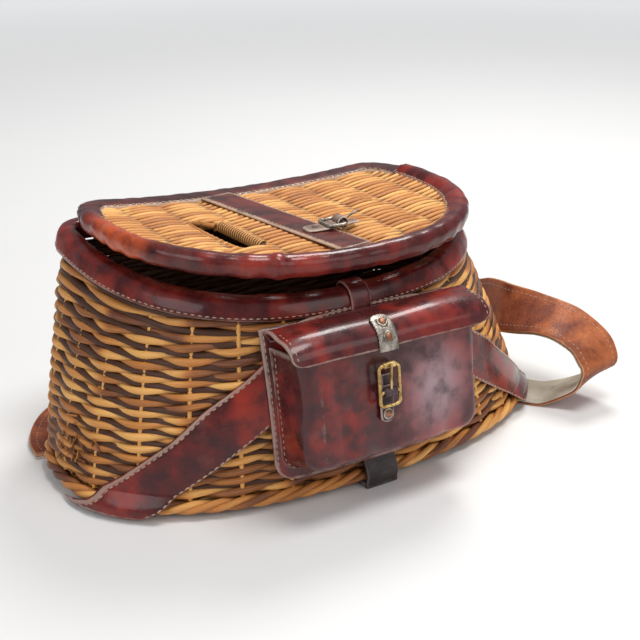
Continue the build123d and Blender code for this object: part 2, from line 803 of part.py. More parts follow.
with BuildPart() as pouch_buckle_chape:
    with BuildSketch(buckle_side):
        Circle(knuckle_outer)
        with Locations((chape_low, knuckle_outer)):
            drop = knuckle_outer - chape_end + pouch_buckle_bar
            Rectangle(chape_leather, drop, align=(Align.MIN, Align.MAX))
        with Locations((chape_low, 0)):
            Rectangle(-chape_low, 2 * knuckle_outer, align=(Align.MIN, Align.CENTER))
        Circle(knuckle_inner, mode=Mode.SUBTRACT)
    extrude(amount=chape_width / 2, both=True)
    with BuildSketch(buckle_side):
        with Locations((chape_high + layer_gap, 0)):
            Rectangle(far, far, align=(Align.MIN, Align.CENTER))
    extrude(amount=chape_slot / 2, both=True, mode=Mode.SUBTRACT)
save(pouch_buckle_chape, "pouch_buckle_chape")

rivet_out = pouch_buckle_out + chape_high + layer_gap

with BuildPart() as pouch_chape_rivet:
    with BuildSketch(pouch_plane.offset(rivet_out)):
        with Locations((pouch_buckle_x, chape_rivet)):
            Circle(rivet_radius)
    extrude(amount=rivet_height)
    fillet(pouch_chape_rivet.edges().group_by(pouch_outward)[-1], rivet_height * 0.7)
save(pouch_chape_rivet, "pouch_chape_rivet")

flap_rivet_places = moved_out(flap_line, flap_leather / 2 + plate_thickness + 2 * layer_gap)

with BuildPart() as flap_rivets:
    for place in (3, 4):
        run = Vector(*flap_line[place + 1]) - Vector(*flap_line[place - 1])
        out = (pouch_plane.z_dir * -run.Y + pouch_plane.y_dir * run.X).normalized()
        spot = pouch_side.from_local_coords((*flap_rivet_places[place], -plate_x))
        with BuildSketch(Plane(origin=spot, x_dir=(1, 0, 0), z_dir=out)):
            Circle(rivet_radius)
        extrude(amount=rivet_height)
save(flap_rivets, "flap_rivets")

# ---------------------------------------------------------------- the shoulder strap


def strap_layer_part(low, high):
    """A length of strap between two distances from its middle line, sewn to the other layer."""
    with BuildPart() as length:
        for place, (middle, across) in enumerate(strap_run):
            before = Vector(*strap_run[max(place - 1, 0)][0])
            after = Vector(*strap_run[min(place + 1, len(strap_run) - 1)][0])
            run = (after - before).normalized()
            across = Vector(*across)
            across = (across - run * across.dot(run)).normalized()
            out = across.cross(run)
            with BuildSketch(Plane(origin=Vector(*middle), x_dir=across, z_dir=run)):
                with Locations((0, (low + high) / 2)):
                    Rectangle(strap_width, high - low)
        loft(ruled=True)
    return length.part


layer_half_gap = 0.1

with BuildPart() as shoulder_strap:
    add(strap_layer_part(-layer_half_gap - strap_leather, -layer_half_gap))
save(shoulder_strap, "shoulder_strap")

with BuildPart() as shoulder_strap_lining:
    add(strap_layer_part(layer_half_gap, layer_half_gap + strap_lining))
save(shoulder_strap_lining, "shoulder_strap_lining")
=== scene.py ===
import math

import bmesh
import bpy
import numpy as np
from mathutils import Matrix, Vector


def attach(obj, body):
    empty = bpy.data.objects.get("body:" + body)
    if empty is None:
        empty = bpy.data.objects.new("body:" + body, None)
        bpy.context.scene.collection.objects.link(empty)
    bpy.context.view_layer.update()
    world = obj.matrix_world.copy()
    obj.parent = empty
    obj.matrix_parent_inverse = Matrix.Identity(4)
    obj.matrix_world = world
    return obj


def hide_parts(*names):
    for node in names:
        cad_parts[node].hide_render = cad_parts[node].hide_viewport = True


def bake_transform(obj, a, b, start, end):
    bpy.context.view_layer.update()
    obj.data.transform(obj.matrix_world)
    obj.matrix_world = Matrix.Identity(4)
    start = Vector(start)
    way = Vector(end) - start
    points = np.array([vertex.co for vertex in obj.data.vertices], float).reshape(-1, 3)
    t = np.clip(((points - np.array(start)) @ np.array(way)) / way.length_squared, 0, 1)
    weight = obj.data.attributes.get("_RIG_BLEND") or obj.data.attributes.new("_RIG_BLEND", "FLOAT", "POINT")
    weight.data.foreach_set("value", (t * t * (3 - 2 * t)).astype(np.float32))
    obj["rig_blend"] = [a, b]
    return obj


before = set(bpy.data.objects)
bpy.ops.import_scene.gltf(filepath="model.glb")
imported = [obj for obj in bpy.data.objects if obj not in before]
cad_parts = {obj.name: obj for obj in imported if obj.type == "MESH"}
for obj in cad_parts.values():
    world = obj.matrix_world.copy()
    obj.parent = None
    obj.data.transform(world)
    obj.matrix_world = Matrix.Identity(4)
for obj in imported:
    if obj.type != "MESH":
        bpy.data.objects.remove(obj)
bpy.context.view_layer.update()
dice = np.random.default_rng(7)

# ---------------------------------------------------------------- the room
# A plain pale floor under the creel, a camera at the height of someone standing in front of its left
# end, and soft studio lamps: the main one is high behind the creel, so its shadow falls forwards.
camera = bpy.data.objects.new("camera", bpy.data.cameras.new("camera"))
bpy.context.scene.collection.objects.link(camera)
camera.location = (-0.3941, -0.6496, 0.4005)
look_at = Vector((0.0233, 0.021, 0.0733))
camera.rotation_euler = (look_at - camera.location).to_track_quat("-Z", "Y").to_euler()
camera.data.lens = 64.07
camera.data.sensor_width = 36
bpy.context.scene.camera = camera
bpy.context.scene.view_settings.view_transform = "Standard"


class Value:
    """A socket that ordinary arithmetic can be written with."""

    def __init__(self, finish, socket):
        self.finish = finish
        self.socket = socket

    def math(self, operation, *others):
        return self.finish.node("Math", {"operation": operation}, dict(enumerate((self, *others))))

    def __add__(self, other):
        return self.math("ADD", other)

    def __sub__(self, other):
        return self.math("SUBTRACT", other)

    def __rsub__(self, other):
        return self.math("MULTIPLY", -1).math("ADD", other)

    def __mul__(self, other):
        return self.math("MULTIPLY", other)

    __radd__ = __add__
    __rmul__ = __mul__


class Finish:
    """One material, and the nodes that are added to it."""

    def __init__(self, name):
        self.material = bpy.data.materials.new(name)
        self.material.use_nodes = True
        self.nodes = self.material.node_tree.nodes
        self.shader = self.nodes["Principled BSDF"]
        self.place = self.node("TexCoord", output="Object")

    def join(self, value, socket):
        if isinstance(value, Value):
            self.material.node_tree.links.new(value.socket, socket)
        else:
            socket.default_value = value

    def node(self, kind, settings=None, sockets=None, output=0):
        made = self.nodes.new("ShaderNode" + kind)
        for key, value in (settings or {}).items():
            setattr(made, key, value)
        for key, value in (sockets or {}).items():
            self.join(value, made.inputs[key])
        return Value(self, made.outputs[output])

    def noise(self, scale, detail=3.0, roughness=0.55, place=None):
        sockets = {"Vector": place or self.place, "Scale": scale, "Detail": detail, "Roughness": roughness}
        return self.node("TexNoise", None, sockets)

    def stretch(self, value, low, high, to_low=0.0, to_high=1.0):
        return self.node("MapRange", None, {0: value, 1: low, 2: high, 3: to_low, 4: to_high})

    def mix(self, factor, first, second):
        return self.node("Mix", {"data_type": "RGBA"}, {0: factor, 6: first, 7: second}, output=2)

    def attribute(self, name, output="Fac"):
        return self.node("Attribute", {"attribute_name": name}, output=output)

    def bump(self, height, strength, distance):
        return self.node("Bump", None, {"Height": height, "Strength": strength, "Distance": distance})

    def dress(self, color, roughness, normal=None, metallic=0.0, coat=0.0, coat_roughness=0.3):
        self.join(color, self.shader.inputs["Base Color"])
        self.join(roughness, self.shader.inputs["Roughness"])
        self.join(metallic, self.shader.inputs["Metallic"])
        self.join(coat, self.shader.inputs["Coat Weight"])
        self.shader.inputs["Coat Roughness"].default_value = coat_roughness
        if normal:
            self.join(normal, self.shader.inputs["Normal"])
        return self.material


def rgb(red, green, blue):
    return (red, green, blue, 1.0)


def add_lamp(name, place, size, power, color):
    lamp = bpy.data.lights.new(name, "AREA")
    lamp.shape = "DISK"
    lamp.size = size
    lamp.energy = power
    lamp.color = color
    holder = bpy.data.objects.new(name, lamp)
    holder.location = place
    holder.rotation_euler = (-Vector(place)).to_track_quat("-Z", "Y").to_euler()
    bpy.context.scene.collection.objects.link(holder)


add_lamp("main_lamp", (0.70, 0.55, 1.35), 0.6, 13, (1.0, 0.98, 0.95))
add_lamp("side_lamp", (-1.3, -0.5, 0.9), 1.0, 6, (0.96, 0.98, 1.0))
add_lamp("top_lamp", (0.15, -0.30, 1.35), 0.55, 9, (1.0, 0.99, 0.97))
add_lamp("front_lamp", (0.5, -1.4, 0.8), 1.1, 5, (1.0, 0.98, 0.96))
world = bpy.data.worlds.new("studio")
bpy.context.scene.world = world
world.use_nodes = True
studio = world.node_tree
room_light = studio.nodes["Background"]
room_light.inputs["Color"].default_value = rgb(0.93, 0.95, 1.0)
room_light.inputs["Strength"].default_value = 0.30
backdrop = studio.nodes.new("ShaderNodeBackground")
backdrop.inputs["Color"].default_value = rgb(0.86, 0.86, 0.86)
backdrop_seen = studio.nodes.new("ShaderNodeLightPath")
backdrop_mix = studio.nodes.new("ShaderNodeMixShader")
studio.links.new(backdrop_seen.outputs["Is Camera Ray"], backdrop_mix.inputs[0])
studio.links.new(room_light.outputs[0], backdrop_mix.inputs[1])
studio.links.new(backdrop.outputs[0], backdrop_mix.inputs[2])
studio.links.new(backdrop_mix.outputs[0], studio.nodes["World Output"].inputs["Surface"])

floor_finish = Finish("floor_paper")
floor_color = floor_finish.mix(floor_finish.noise(3.0), rgb(0.80, 0.80, 0.80), rgb(0.84, 0.84, 0.83))
floor_finish.dress(floor_color, 0.85)
floor_reach = floor_finish.node("VectorMath", {"operation": "LENGTH"}, {0: floor_finish.place}, "Value")
seen = floor_finish.node("LightPath", output="Is Camera Ray")
far_share = floor_finish.stretch(floor_reach, 0.5, 2.6) * seen
far_glow = floor_finish.mix(far_share, rgb(0, 0, 0), rgb(1.0, 1.0, 1.0))
floor_finish.join(far_glow, floor_finish.shader.inputs["Emission Color"])
floor_finish.shader.inputs["Emission Strength"].default_value = 0.50
bm = bmesh.new()
bmesh.ops.create_circle(bm, segments=64, radius=6.0, cap_ends=True)
floor_mesh = bpy.data.meshes.new("floor")
bm.to_mesh(floor_mesh)
bm.free()
floor = bpy.data.objects.new("floor", floor_mesh)
floor.data.materials.append(floor_finish.material)
bpy.context.scene.collection.objects.link(floor)

# ---------------------------------------------------------------- the woven wall
# Varnished willow, woven in pairs: in every row two rods cross between the upright stakes, so one long
# float lies over each stake.  The wall leans in to the rim, and its weave is darkened in the hollows,
# between the rows and on the rods' sides: partly real stain, partly painted shade.
MM = 0.001
upward = np.array([0.0, 0.0, 1.0])
foot_z = 4.3
wall_height = 127.9
lean = -6.3
slope = 0.10
bulge = 14.0
saddle_rise = 4.5
# Each outline: half length, reach of the front, depth of the widest place, reach of the back, where the
# back corners start, and how square the front is.
foot_shape = np.array([190.0, 95.0, 19.0, 95.0, 125.0, 2.4])
rim_shape = np.array([147.0, 77.0, 74.0, 101.0, 119.0, 2.6])


def even(points, count, closed=False):
    """Points at equal steps along a line."""
    points = np.asarray(points, float)
    if closed:
        points = np.vstack([points, points[:1]])
    run = np.r_[0, np.cumsum(np.linalg.norm(np.diff(points, axis=0), axis=1))]
    at = np.linspace(0, run[-1], count, endpoint=not closed)
    return np.stack([np.interp(at, run, points[:, axis]) for axis in range(points.shape[1])], axis=1)


def smooth_line(points, count, closed=False):
    """An even line that curves through the points given."""
    points = np.asarray(points, float)
    if closed:
        padded = np.vstack([points[-1:], points, points[:2]])
    else:
        padded = np.vstack([2 * points[:1] - points[1:2], points, 2 * points[-1:] - points[-2:-1]])
    pieces = []
    share = np.linspace(0, 1, 24, endpoint=False)[:, None]
    for first, start, end, last in zip(padded, padded[1:], padded[2:], padded[3:]):
        bend = (2 * first - 5 * start + 4 * end - last) * share**2
        bend += (-first + 3 * start - 3 * end + last) * share**3
        pieces.append((2 * start + (end - first) * share + bend) / 2)
    line = np.vstack(pieces + ([] if closed else [points[-1:]]))
    return even(line, count, closed)


def oval(half_length, front, widest, back, corner, squareness):
    """The outline of the basket or the lid, from the middle of the back round by the left end."""
    quarter = np.linspace(0, math.pi / 2, 30)
    half = np.linspace(math.pi, 0, 240)
    across = np.linspace(0, 1, 40)
    back_left = np.stack([-corner * across, back - 2 * (1 - across**2)], 1)
    corner_x = corner + (half_length - corner) * np.sin(quarter)
    left = np.stack([-corner_x, widest + (back - widest) * np.cos(quarter)], 1)
    x = half_length * np.sign(np.cos(half)) * np.abs(np.cos(half)) ** (2 / squareness)
    y = widest - (widest + front) * np.abs(np.sin(half)) ** (2 / squareness)
    right, back_right = (side[::-1] * (-1, 1) for side in (left, back_left))
    return np.vstack([back_left[:-1], left[:-1], np.stack([x, y], 1), right[1:], back_right[1:-1]])


def wall_ring(rise, offset, count):
    """Even points round the wall at one level: 0 is the foot and 1 the stitched edge of the rim."""
    half_length, front, widest, back, corner, squareness = foot_shape + (rim_shape - foot_shape) * rise
    grown = bulge * rise * (1 - rise) + offset
    flat = oval(half_length + grown, front + grown, widest, back + grown, corner, squareness)
    flat = even(flat, count, closed=True)
    tilt = math.atan(slope) * rise
    height = foot_z + wall_height * rise + flat[:, 1] * math.sin(tilt)
    return np.stack([flat[:, 0] + lean * rise, flat[:, 1] * math.cos(tilt), height], 1)


def unit(vectors):
    return vectors / np.maximum(np.linalg.norm(vectors, axis=-1, keepdims=True), 1e-9)


def along_line(points, closed=False):
    """The direction of a line at each of its points."""
    if closed:
        return unit(np.roll(points, -1, 0) - np.roll(points, 1, 0))
    return unit(np.gradient(points, axis=0))


def ring_outward(ring):
    """The level way out from a closed line, at each of its points."""
    run = along_line(ring, closed=True)
    return unit(np.stack([run[:, 1], -run[:, 0], run[:, 0] * 0], 1))


def saddle(x):
    """How much the ends of the rim are lifted above its middle."""
    return saddle_rise * ((x - lean) / rim_shape[0]) ** 2


def rod_rings(centre, radius, sides, closed=False, upright=(0, 0, 1)):
    """Rings of points round a line, for a rod of the radius given at each point."""
    run = along_line(centre, closed)
    across = unit(np.cross(run, np.asarray(upright, float)))
    over = np.cross(across, run)
    angle = np.linspace(0, 2 * math.pi, sides, endpoint=False)
    radius = np.broadcast_to(radius, len(centre))[:, None, None]
    turned = np.cos(angle)[None, :, None] * across[:, None] + np.sin(angle)[None, :, None] * over[:, None]
    return centre[:, None] + radius * turned


def new_mesh():
    bm = bmesh.new()
    # Points carry a tone, a worn edge and painted light: shade on willow (partly stain), a sheen on leather.
    for layer in ("tone", "edge", "shade_and_sheen"):
        bm.verts.layers.float.new(layer)
    bm.verts.layers.float_vector.new("lay")
    return bm


def draw_tube(bm, rings, tone=0.5, edge=0.0, shade_and_sheen=0.0, closed=False, capped=True):
    """Lays a flat grid along the rings of points given, as a tube whose ends may be closed."""
    steps, sides = rings.shape[:2]
    tone, edge, shade_and_sheen = (np.broadcast_to(value, (steps, sides)) for value in (tone, edge, shade_and_sheen))
    middle = rings.mean(1)
    run = np.r_[0, np.cumsum(np.linalg.norm(np.diff(middle, axis=0), axis=1))] * MM
    capped = capped and not closed
    rows = steps + 1 if closed else steps + 2 * capped
    start = len(bm.verts)
    bmesh.ops.create_grid(bm, x_segments=rows - 1, y_segments=sides, size=1)
    bm.verts.ensure_lookup_table()
    tones = bm.verts.layers.float["tone"]
    edge_layer = bm.verts.layers.float["edge"]
    shade_and_sheen_layer = bm.verts.layers.float["shade_and_sheen"]
    lays = bm.verts.layers.float_vector["lay"]
    for vert in bm.verts[start:]:
        row = round((vert.co.x + 1) / 2 * (rows - 1))
        side = round((vert.co.y + 1) / 2 * sides) % sides
        step = row % steps if closed else min(max(row - capped, 0), steps - 1)
        turn = 2 * math.pi * side / sides
        vert[lays] = (math.cos(turn), math.sin(turn), run[step])
        vert[tones] = tone[step, side]
        vert[edge_layer] = edge[step, side]
        vert[shade_and_sheen_layer] = shade_and_sheen[step, side]
        vert.co = middle[step] if capped and row in (0, rows - 1) else rings[step, side]


def build(bm, name, material, body, replaces=()):
    """Turns a mesh drawn in millimetres into a finished piece, which rides on the body if one is given."""
    bmesh.ops.remove_doubles(bm, verts=bm.verts, dist=1e-4)
    bmesh.ops.recalc_face_normals(bm, faces=bm.faces)
    bmesh.ops.scale(bm, vec=(MM, MM, MM), verts=bm.verts)
    mesh = bpy.data.meshes.new(name)
    bm.to_mesh(mesh)
    bm.free()
    mesh.polygons.foreach_set("use_smooth", [True] * len(mesh.polygons))
    piece = bpy.data.objects.new(name, mesh)
    piece.data.materials.append(material)
    bpy.context.scene.collection.objects.link(piece)
    if body:
        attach(piece, body)
    if replaces:
        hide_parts(*replaces)
    return piece


def waver(length, waves, seed):
    """A smooth random line between about -1 and 1."""
    source = np.random.default_rng(seed)
    at = np.linspace(0, 2 * math.pi, length, endpoint=False)
    line = np.zeros(length)
    for count in range(1, waves + 1):
        line += source.normal() * np.sin(count * at + source.uniform(0, 6.3)) / math.sqrt(waves)
    return line


wicker = Finish("willow")
rod_brown = rgb(0.150, 0.048, 0.022)
rod_honey = rgb(0.57, 0.215, 0.048)
rod_pale = rgb(0.90, 0.48, 0.14)
fibre_brown = rgb(0.22, 0.075, 0.03)
hollow_stain_and_shade = rgb(0.045, 0.014, 0.007)
rod_place = wicker.attribute("lay", "Vector")
grain_place = wicker.node("VectorMath", {"operation": "MULTIPLY"}, {0: rod_place, 1: (2.2, 2.2, 22.0)})
grain = wicker.noise(1.6, 5.0, 0.6, grain_place)
fibre_place = wicker.node("VectorMath", {"operation": "MULTIPLY"}, {0: rod_place, 1: (9.0, 9.0, 30.0)})
fibres = wicker.noise(2.0, 4.0, 0.6, fibre_place)
patches = wicker.noise(16.0, 3.0)
blend = wicker.stretch(wicker.attribute("tone") * 0.55 + grain * 0.5 + patches * 0.25, 0.38, 0.92)
willow_color = wicker.mix(wicker.stretch(blend, 0.0, 0.5), rod_brown, rod_honey)
willow_color = wicker.mix(wicker.stretch(blend, 0.5, 1.0), willow_color, rod_pale)
willow_color = wicker.mix(wicker.stretch(fibres, 0.56, 0.72) * 0.5, willow_color, fibre_brown)
# Partly real stain, partly painted shade: nearly black where the points ask for shade, in hollows and gaps.
stain_and_shade_share = wicker.attribute("shade_and_sheen") + (wicker.noise(60.0) - 0.5) * 0.5
willow_color = wicker.mix(wicker.stretch(stain_and_shade_share, 0.35, 0.85) * 0.93, willow_color, hollow_stain_and_shade)
willow_bump = wicker.bump(fibres * 0.6 + grain * 0.4, 0.5, 0.0008)
willow_rough = wicker.stretch(grain, 0.3, 0.7, 0.40, 0.58)
wicker.shader.inputs["Specular IOR Level"].default_value = 0.35
willow = wicker.dress(willow_color, willow_rough, willow_bump, coat=0.12, coat_roughness=0.3)

stakes = 28
samples = 8
row_pitch = 7.25
first_row_z = 17.2
last_row_z = 139.0
long_float_row = 14
rod_radius = 2.65
weave_inset = 4.3
painted_gap_shade = {"tone": 0.3, "shade_and_sheen": 0.92, "closed": True}


def pair_rods(bm, line, out, phase, radius, swing, rise, seed):
    """Two rods that twist round each other along a closed line, each outside every other stake."""
    count = len(line)
    for strand in (0, 1):
        turn = phase + math.pi * strand
        outward = (np.sign(np.cos(turn)) * np.abs(np.cos(turn)) ** 0.8)[:, None]
        tuck = (1 - np.cos(turn))[:, None] / 2
        jitter = waver(count, 24, seed + strand)[:, None]
        lift = np.sin(turn)[:, None] * rise + tuck + jitter * 0.5
        centre = line + out * (outward * swing - swing * 0.1) + upward * lift
        swell = radius * (0.80 + 0.22 * np.cos(turn) ** 2) * (1 + 0.08 * waver(count, 9, seed + 40 + strand))
        rings = rod_rings(centre, swell, 8, closed=True)
        steps = np.arange(count) // 16
        tone = dice.uniform(0.0, 1.0, steps.max() + 2)[steps]
        tone = np.convolve(np.r_[tone[-1:], tone, tone[:1]], [0.25, 0.5, 0.25], "valid")[:, None]
        # Painted shade, partly stain: darker where a rod passes behind a stake, on its inner face and on its
        # top and bottom.
        inward = ((centre[:, None] - rings) * out[:, None]).sum(2) / radius
        above = np.abs(((rings - centre[:, None]) * upward).sum(2)) / radius
        shade_and_sheen = 0.75 * ((1 - np.cos(turn))[:, None] / 2) ** 0.8 + 0.42 * np.clip(inward, 0, 1)
        shade_and_sheen = shade_and_sheen + 0.60 * np.clip(above - 0.45, 0, 1)
        draw_tube(bm, rings, tone=tone, shade_and_sheen=shade_and_sheen, closed=True)


# The rows, from the foot up.  Behind each is a rod that fills the gap to the next one, coloured nearly black
# as painted shade in the gap, and the rods of the top rows pass outside two stakes at a time.
bm = new_mesh()
count = stakes * samples
for row, row_z in enumerate(np.arange(first_row_z, last_row_z, row_pitch)):
    rise = (row_z - foot_z) / wall_height
    ring = wall_ring(rise, -weave_inset, count)
    out = ring_outward(ring)
    near_top = row >= long_float_row
    phase = np.arange(count) / samples * math.pi * (0.5 if near_top else 1.0)
    drift = 1.3 if near_top else 0.55
    line = ring + upward * (drift * waver(count, 7, row + 100)[:, None])
    line = line + upward * (saddle(ring[:, 0]) * np.clip((rise - 0.7) / 0.3, 0, 1))[:, None]
    pair_rods(bm, line, out, phase, rod_radius, swing=1.9, rise=1.25, seed=200 + 3 * row)
    ripple = 0.3 * waver(count, 30, row + 400)[:, None]
    filler = line + upward * (row_pitch / 2) - out * 1.5 + upward * ripple
    draw_tube(bm, rod_rings(filler[::2], 3.1, 6, True), **painted_gap_shade)
draw_tube(bm, rod_rings(filler[::2] + upward * 3.4, 2.4, 6, True), **painted_gap_shade)

# The stakes stand in pairs and show as pale dots in the gaps.
levels = np.linspace(0.07, 1.06, 14)
stake_rings = [wall_ring(level, -3.8, stakes * 10) for level in levels]
for stake in range(stakes):
    centre = np.array([ring[stake * 10] for ring in stake_rings])
    sideways = unit(np.cross(upward, centre[7] * (1, 1, 0)))
    for spread in (-2.1, 2.1):
        rings = rod_rings(centre + sideways * spread, 1.6, 6, upright=(0, 1, 0))
        draw_tube(bm, rings, tone=0.85, shade_and_sheen=0.22)

# Broken, frayed rods low down at the left end.  Each lies on the wall beside the place drawn for it.
fray_middle = np.array([-181.0, 4.0, 34.0])
fray_spread = np.array([0.8, 12.0, 11.0])
for splinter in range(26):
    middle = fray_middle + dice.normal(0, 1, 3) * fray_spread
    way = unit((dice.normal(0, 1, 3) * (0.35, 1.0, 0.8))[None])[0]
    reach = np.linspace(-1, 1, 5)[:, None] * dice.uniform(3, 8)
    curl = np.array([-1.0, 0.0, 0.2]) * (np.linspace(-1, 1, 5)[:, None] ** 2) * dice.uniform(0.0, 1.6)
    ring = wall_ring((middle[2] - foot_z) / wall_height, -0.8, 600)
    left_end = ring[ring[:, 0] < -90]
    middle[0] = left_end[np.abs(left_end[:, 1] - middle[1]).argmin(), 0]
    thin = np.array([0.4, 0.8, 1.0, 0.8, 0.2]) * dice.uniform(0.5, 1.1)
    draw_tube(bm, rod_rings(middle + way * reach + curl, thin, 5), tone=dice.uniform(0.0, 0.5), shade_and_sheen=0.5)
build(bm, "wall_weave", willow, "basket", ["basket_wall"])

# ---------------------------------------------------------------- the border at the foot
# Three stout rods twisted round each other like a rope, laid over the turned-in ends of the stakes.
border_strands = 3
border_turns = 20
bm = new_mesh()
count = 460
ring = wall_ring(0.036, -1.6, count)
out = ring_outward(ring)
twist = np.arange(count) / count * 2 * math.pi * border_turns
for strand in range(border_strands):
    turn = twist + 2 * math.pi * strand / border_strands
    centre = ring + out * (2.2 * np.cos(turn)[:, None]) + upward * (2.3 * np.sin(turn)[:, None])
    tone = 0.5 + 0.4 * waver(count, 14, 900 + strand)[:, None]
    rings = rod_rings(centre, 2.35 + 0.12 * waver(count, 20, 910 + strand), 8, closed=True)
    # Painted shade, partly stain: darker where a strand turns under the others and on its inner face.
    inward = ((centre[:, None] - rings) * out[:, None]).sum(2) / 2.4
    shade_and_sheen = 0.5 * (1 - np.cos(turn))[:, None] / 2 + 0.4 * np.clip(inward, 0, 1)
    draw_tube(bm, rings, tone=tone, shade_and_sheen=shade_and_sheen, closed=True)
inner_ring = wall_ring(0.03, -6.4, count)
draw_tube(bm, rod_rings(inner_ring, 2.6, 8, closed=True), tone=0.4, shade_and_sheen=0.55, closed=True)
build(bm, "foot_rope", willow, "basket", ["foot_border"])

# ---------------------------------------------------------------- the woven bottom
# Thin willow woven to and fro between stakes that run front to back, inside the border and just above the
# strap that passes under the basket.


def weave_sheet(bm, rows, height_at, edges_at, radius, swing, spacing, seed, sides=7):
    """Pairs of rods woven from side to side at each depth, ending where edges_at says."""
    for number, y in enumerate(rows):
        for low_x, high_x in edges_at(y):
            if high_x - low_x < 6:
                continue
            count = max(4, int((high_x - low_x) / spacing * 7))
            x = np.linspace(low_x, high_x, count)
            line = np.stack([x, x * 0 + y, height_at(x)], 1)
            out = np.tile(upward, (count, 1))
            phase = x / spacing * math.pi + 0.3
            for strand in (0, 1):
                turn = phase + math.pi * strand
                jitter = waver(count, 12, seed + 5 * number + strand)
                arch = np.sign(np.cos(turn)) * np.abs(np.cos(turn)) ** 0.7
                centre = line + out * (swing * arch)[:, None]
                centre[:, 1] += 0.9 * np.sin(turn) + 0.35 * jitter
                swell = radius * (0.82 + 0.24 * np.cos(turn) ** 2)
                rings = rod_rings(centre, swell, sides, upright=(0, 1, 0))
                steps = np.arange(count) // 7
                tone = dice.uniform(0.35, 0.95, steps.max() + 1)[steps][:, None]
                # Painted shade, partly stain: darker on the side turned into the weave, on the flanks and
                # where a rod crosses over.
                facing = (rings - centre[:, None])[:, :, 2] * np.sign(np.cos(turn))[:, None] / radius
                beside = np.abs((rings - centre[:, None])[:, :, 1]) / radius
                shade_and_sheen = 0.5 * (1 - np.clip(facing, -1, 1)) / 2 + 0.7 * np.clip(beside - 0.4, 0, 1)
                shade_and_sheen = shade_and_sheen + 0.5 * np.clip(0.6 - np.abs(np.cos(turn)), 0, 1)[:, None]
                draw_tube(bm, rings, tone=tone, shade_and_sheen=shade_and_sheen)


def crossings(outline, y, margin=0.0):
    """The left and right ends of a line across an outline at one depth."""
    ahead = np.roll(outline, -1, 0)
    hit = (outline[:, 1] - y) * (ahead[:, 1] - y) < 0
    share = (y - outline[hit, 1]) / (ahead[hit, 1] - outline[hit, 1])
    x = np.sort(outline[hit, 0] + share * (ahead[hit, 0] - outline[hit, 0]))
    return [(x[0] + margin, x[-1] - margin)] if len(x) > 1 else []


base_outline = wall_ring(0.03, -7.5, 400)
stake_spacing = 30


def base_height(x):
    return x * 0 + 7.9


def base_spans(y):
    return crossings(base_outline, y)


bm = new_mesh()
base_rows = np.arange(-84, 86, 5.6)
weave_sheet(bm, base_rows, base_height, base_spans, 1.75, 0.85, stake_spacing, seed=3000, sides=6)
for x in np.arange(-165.0, 170.0, stake_spacing):
    ends = crossings(base_outline[:, [1, 0, 2]], x)
    y = np.linspace(ends[0][0], ends[0][1], 12)
    rings = rod_rings(np.stack([y * 0 + x, y, y * 0 + 7.8], 1), 1.5, 6)
    draw_tube(bm, rings, tone=0.3, shade_and_sheen=0.4)
build(bm, "base_weave", willow, "basket", ["base_panel"])

# ---------------------------------------------------------------- the woven lid
# The lid bows down in the middle.  Its rods run from end to end and stop at the fish hole, whose sides
# are finished with a rod on the left and front, and with split cane wound round a rod on the right.
lid_x = -7.0
lid_z = 158.0
lid_bow = 7.5
lid_slope = -0.018
lid_shape = np.array([139.0, 88.0, 40.0, 98.5, 108.0, 2.4])
hole_corners = np.array([(-76.0, 32.0), (-60.0, 20.0), (-55.0, -35.0), (-72.0, -31.0)])
cane_ends = np.array([(-57.2, 20.0), (-52.6, -32.0)])


def lid_height(x):
    return lid_z + lid_bow * ((x - lid_x) / lid_shape[0]) ** 2 + lid_slope * x


def weave_height(x):
    return lid_height(x) + 0.3


def lid_ring(offset):
    half_length, front, widest, back, corner, squareness = lid_shape
    flat = oval(half_length + offset, front + offset, widest, back + offset, corner, squareness)
    return flat + (lid_x, 0)


def lid_spans(y):
    spans = crossings(lid_ring(-9.0), y)
    hole = crossings(hole_corners, y)
    if spans and hole:
        return [(spans[0][0], hole[0][0] - 0.5), (hole[0][1] + 4.0, spans[0][1])]
    return spans


bm = new_mesh()
lid_rows = np.arange(-80, 95, 6.1)
weave_sheet(bm, lid_rows, weave_height, lid_spans, 2.3, 1.35, stake_spacing, seed=5000, sides=8)
for x in np.arange(-135.0, 125.0, stake_spacing) + 12.1:
    if -80 < x < -52:
        # This stake would cross the fish hole.
        continue
    ends = crossings(lid_ring(-9.0)[:, ::-1], x)
    y = np.linspace(ends[0][0], ends[0][1], 20)
    rings = rod_rings(np.stack([y * 0 + x, y, y * 0 + lid_height(x) + 0.4], 1), 1.5, 6)
    draw_tube(bm, rings, tone=0.35, shade_and_sheen=0.5)
back_right, back_left = hole_corners[1] + (-1, 2), hole_corners[0]
edge_line = smooth_line([back_right, back_left, hole_corners[3], hole_corners[2]], 40)
edge_line = np.column_stack([edge_line, lid_height(edge_line[:, 0]) + 0.8])
draw_tube(bm, rod_rings(edge_line, 2.0, 7), tone=0.5, shade_and_sheen=0.45)
build(bm, "lid_weave", willow, "lid", ["lid_panel"])

# The split cane: one strand wound from end to end round a straight rod.
bm = new_mesh()
cane_turns = 21
coil_radius = 3.0
cane_at = np.linspace(0, 1, cane_turns * 10)
core = cane_ends[0] + (cane_ends[1] - cane_ends[0]) * cane_at[:, None]
angle = cane_at * cane_turns * 2 * math.pi
cane_run = unit(np.append(cane_ends[1] - cane_ends[0], 0.0)[None])[0]
cane_side = np.cross(upward, cane_run)
core = np.column_stack([core, lid_height(core[:, 0]) + 0.6])
core += coil_radius * (np.cos(angle)[:, None] * cane_side + np.sin(angle)[:, None] * upward)
rings = rod_rings(core, 1.2, 8, upright=cane_run)
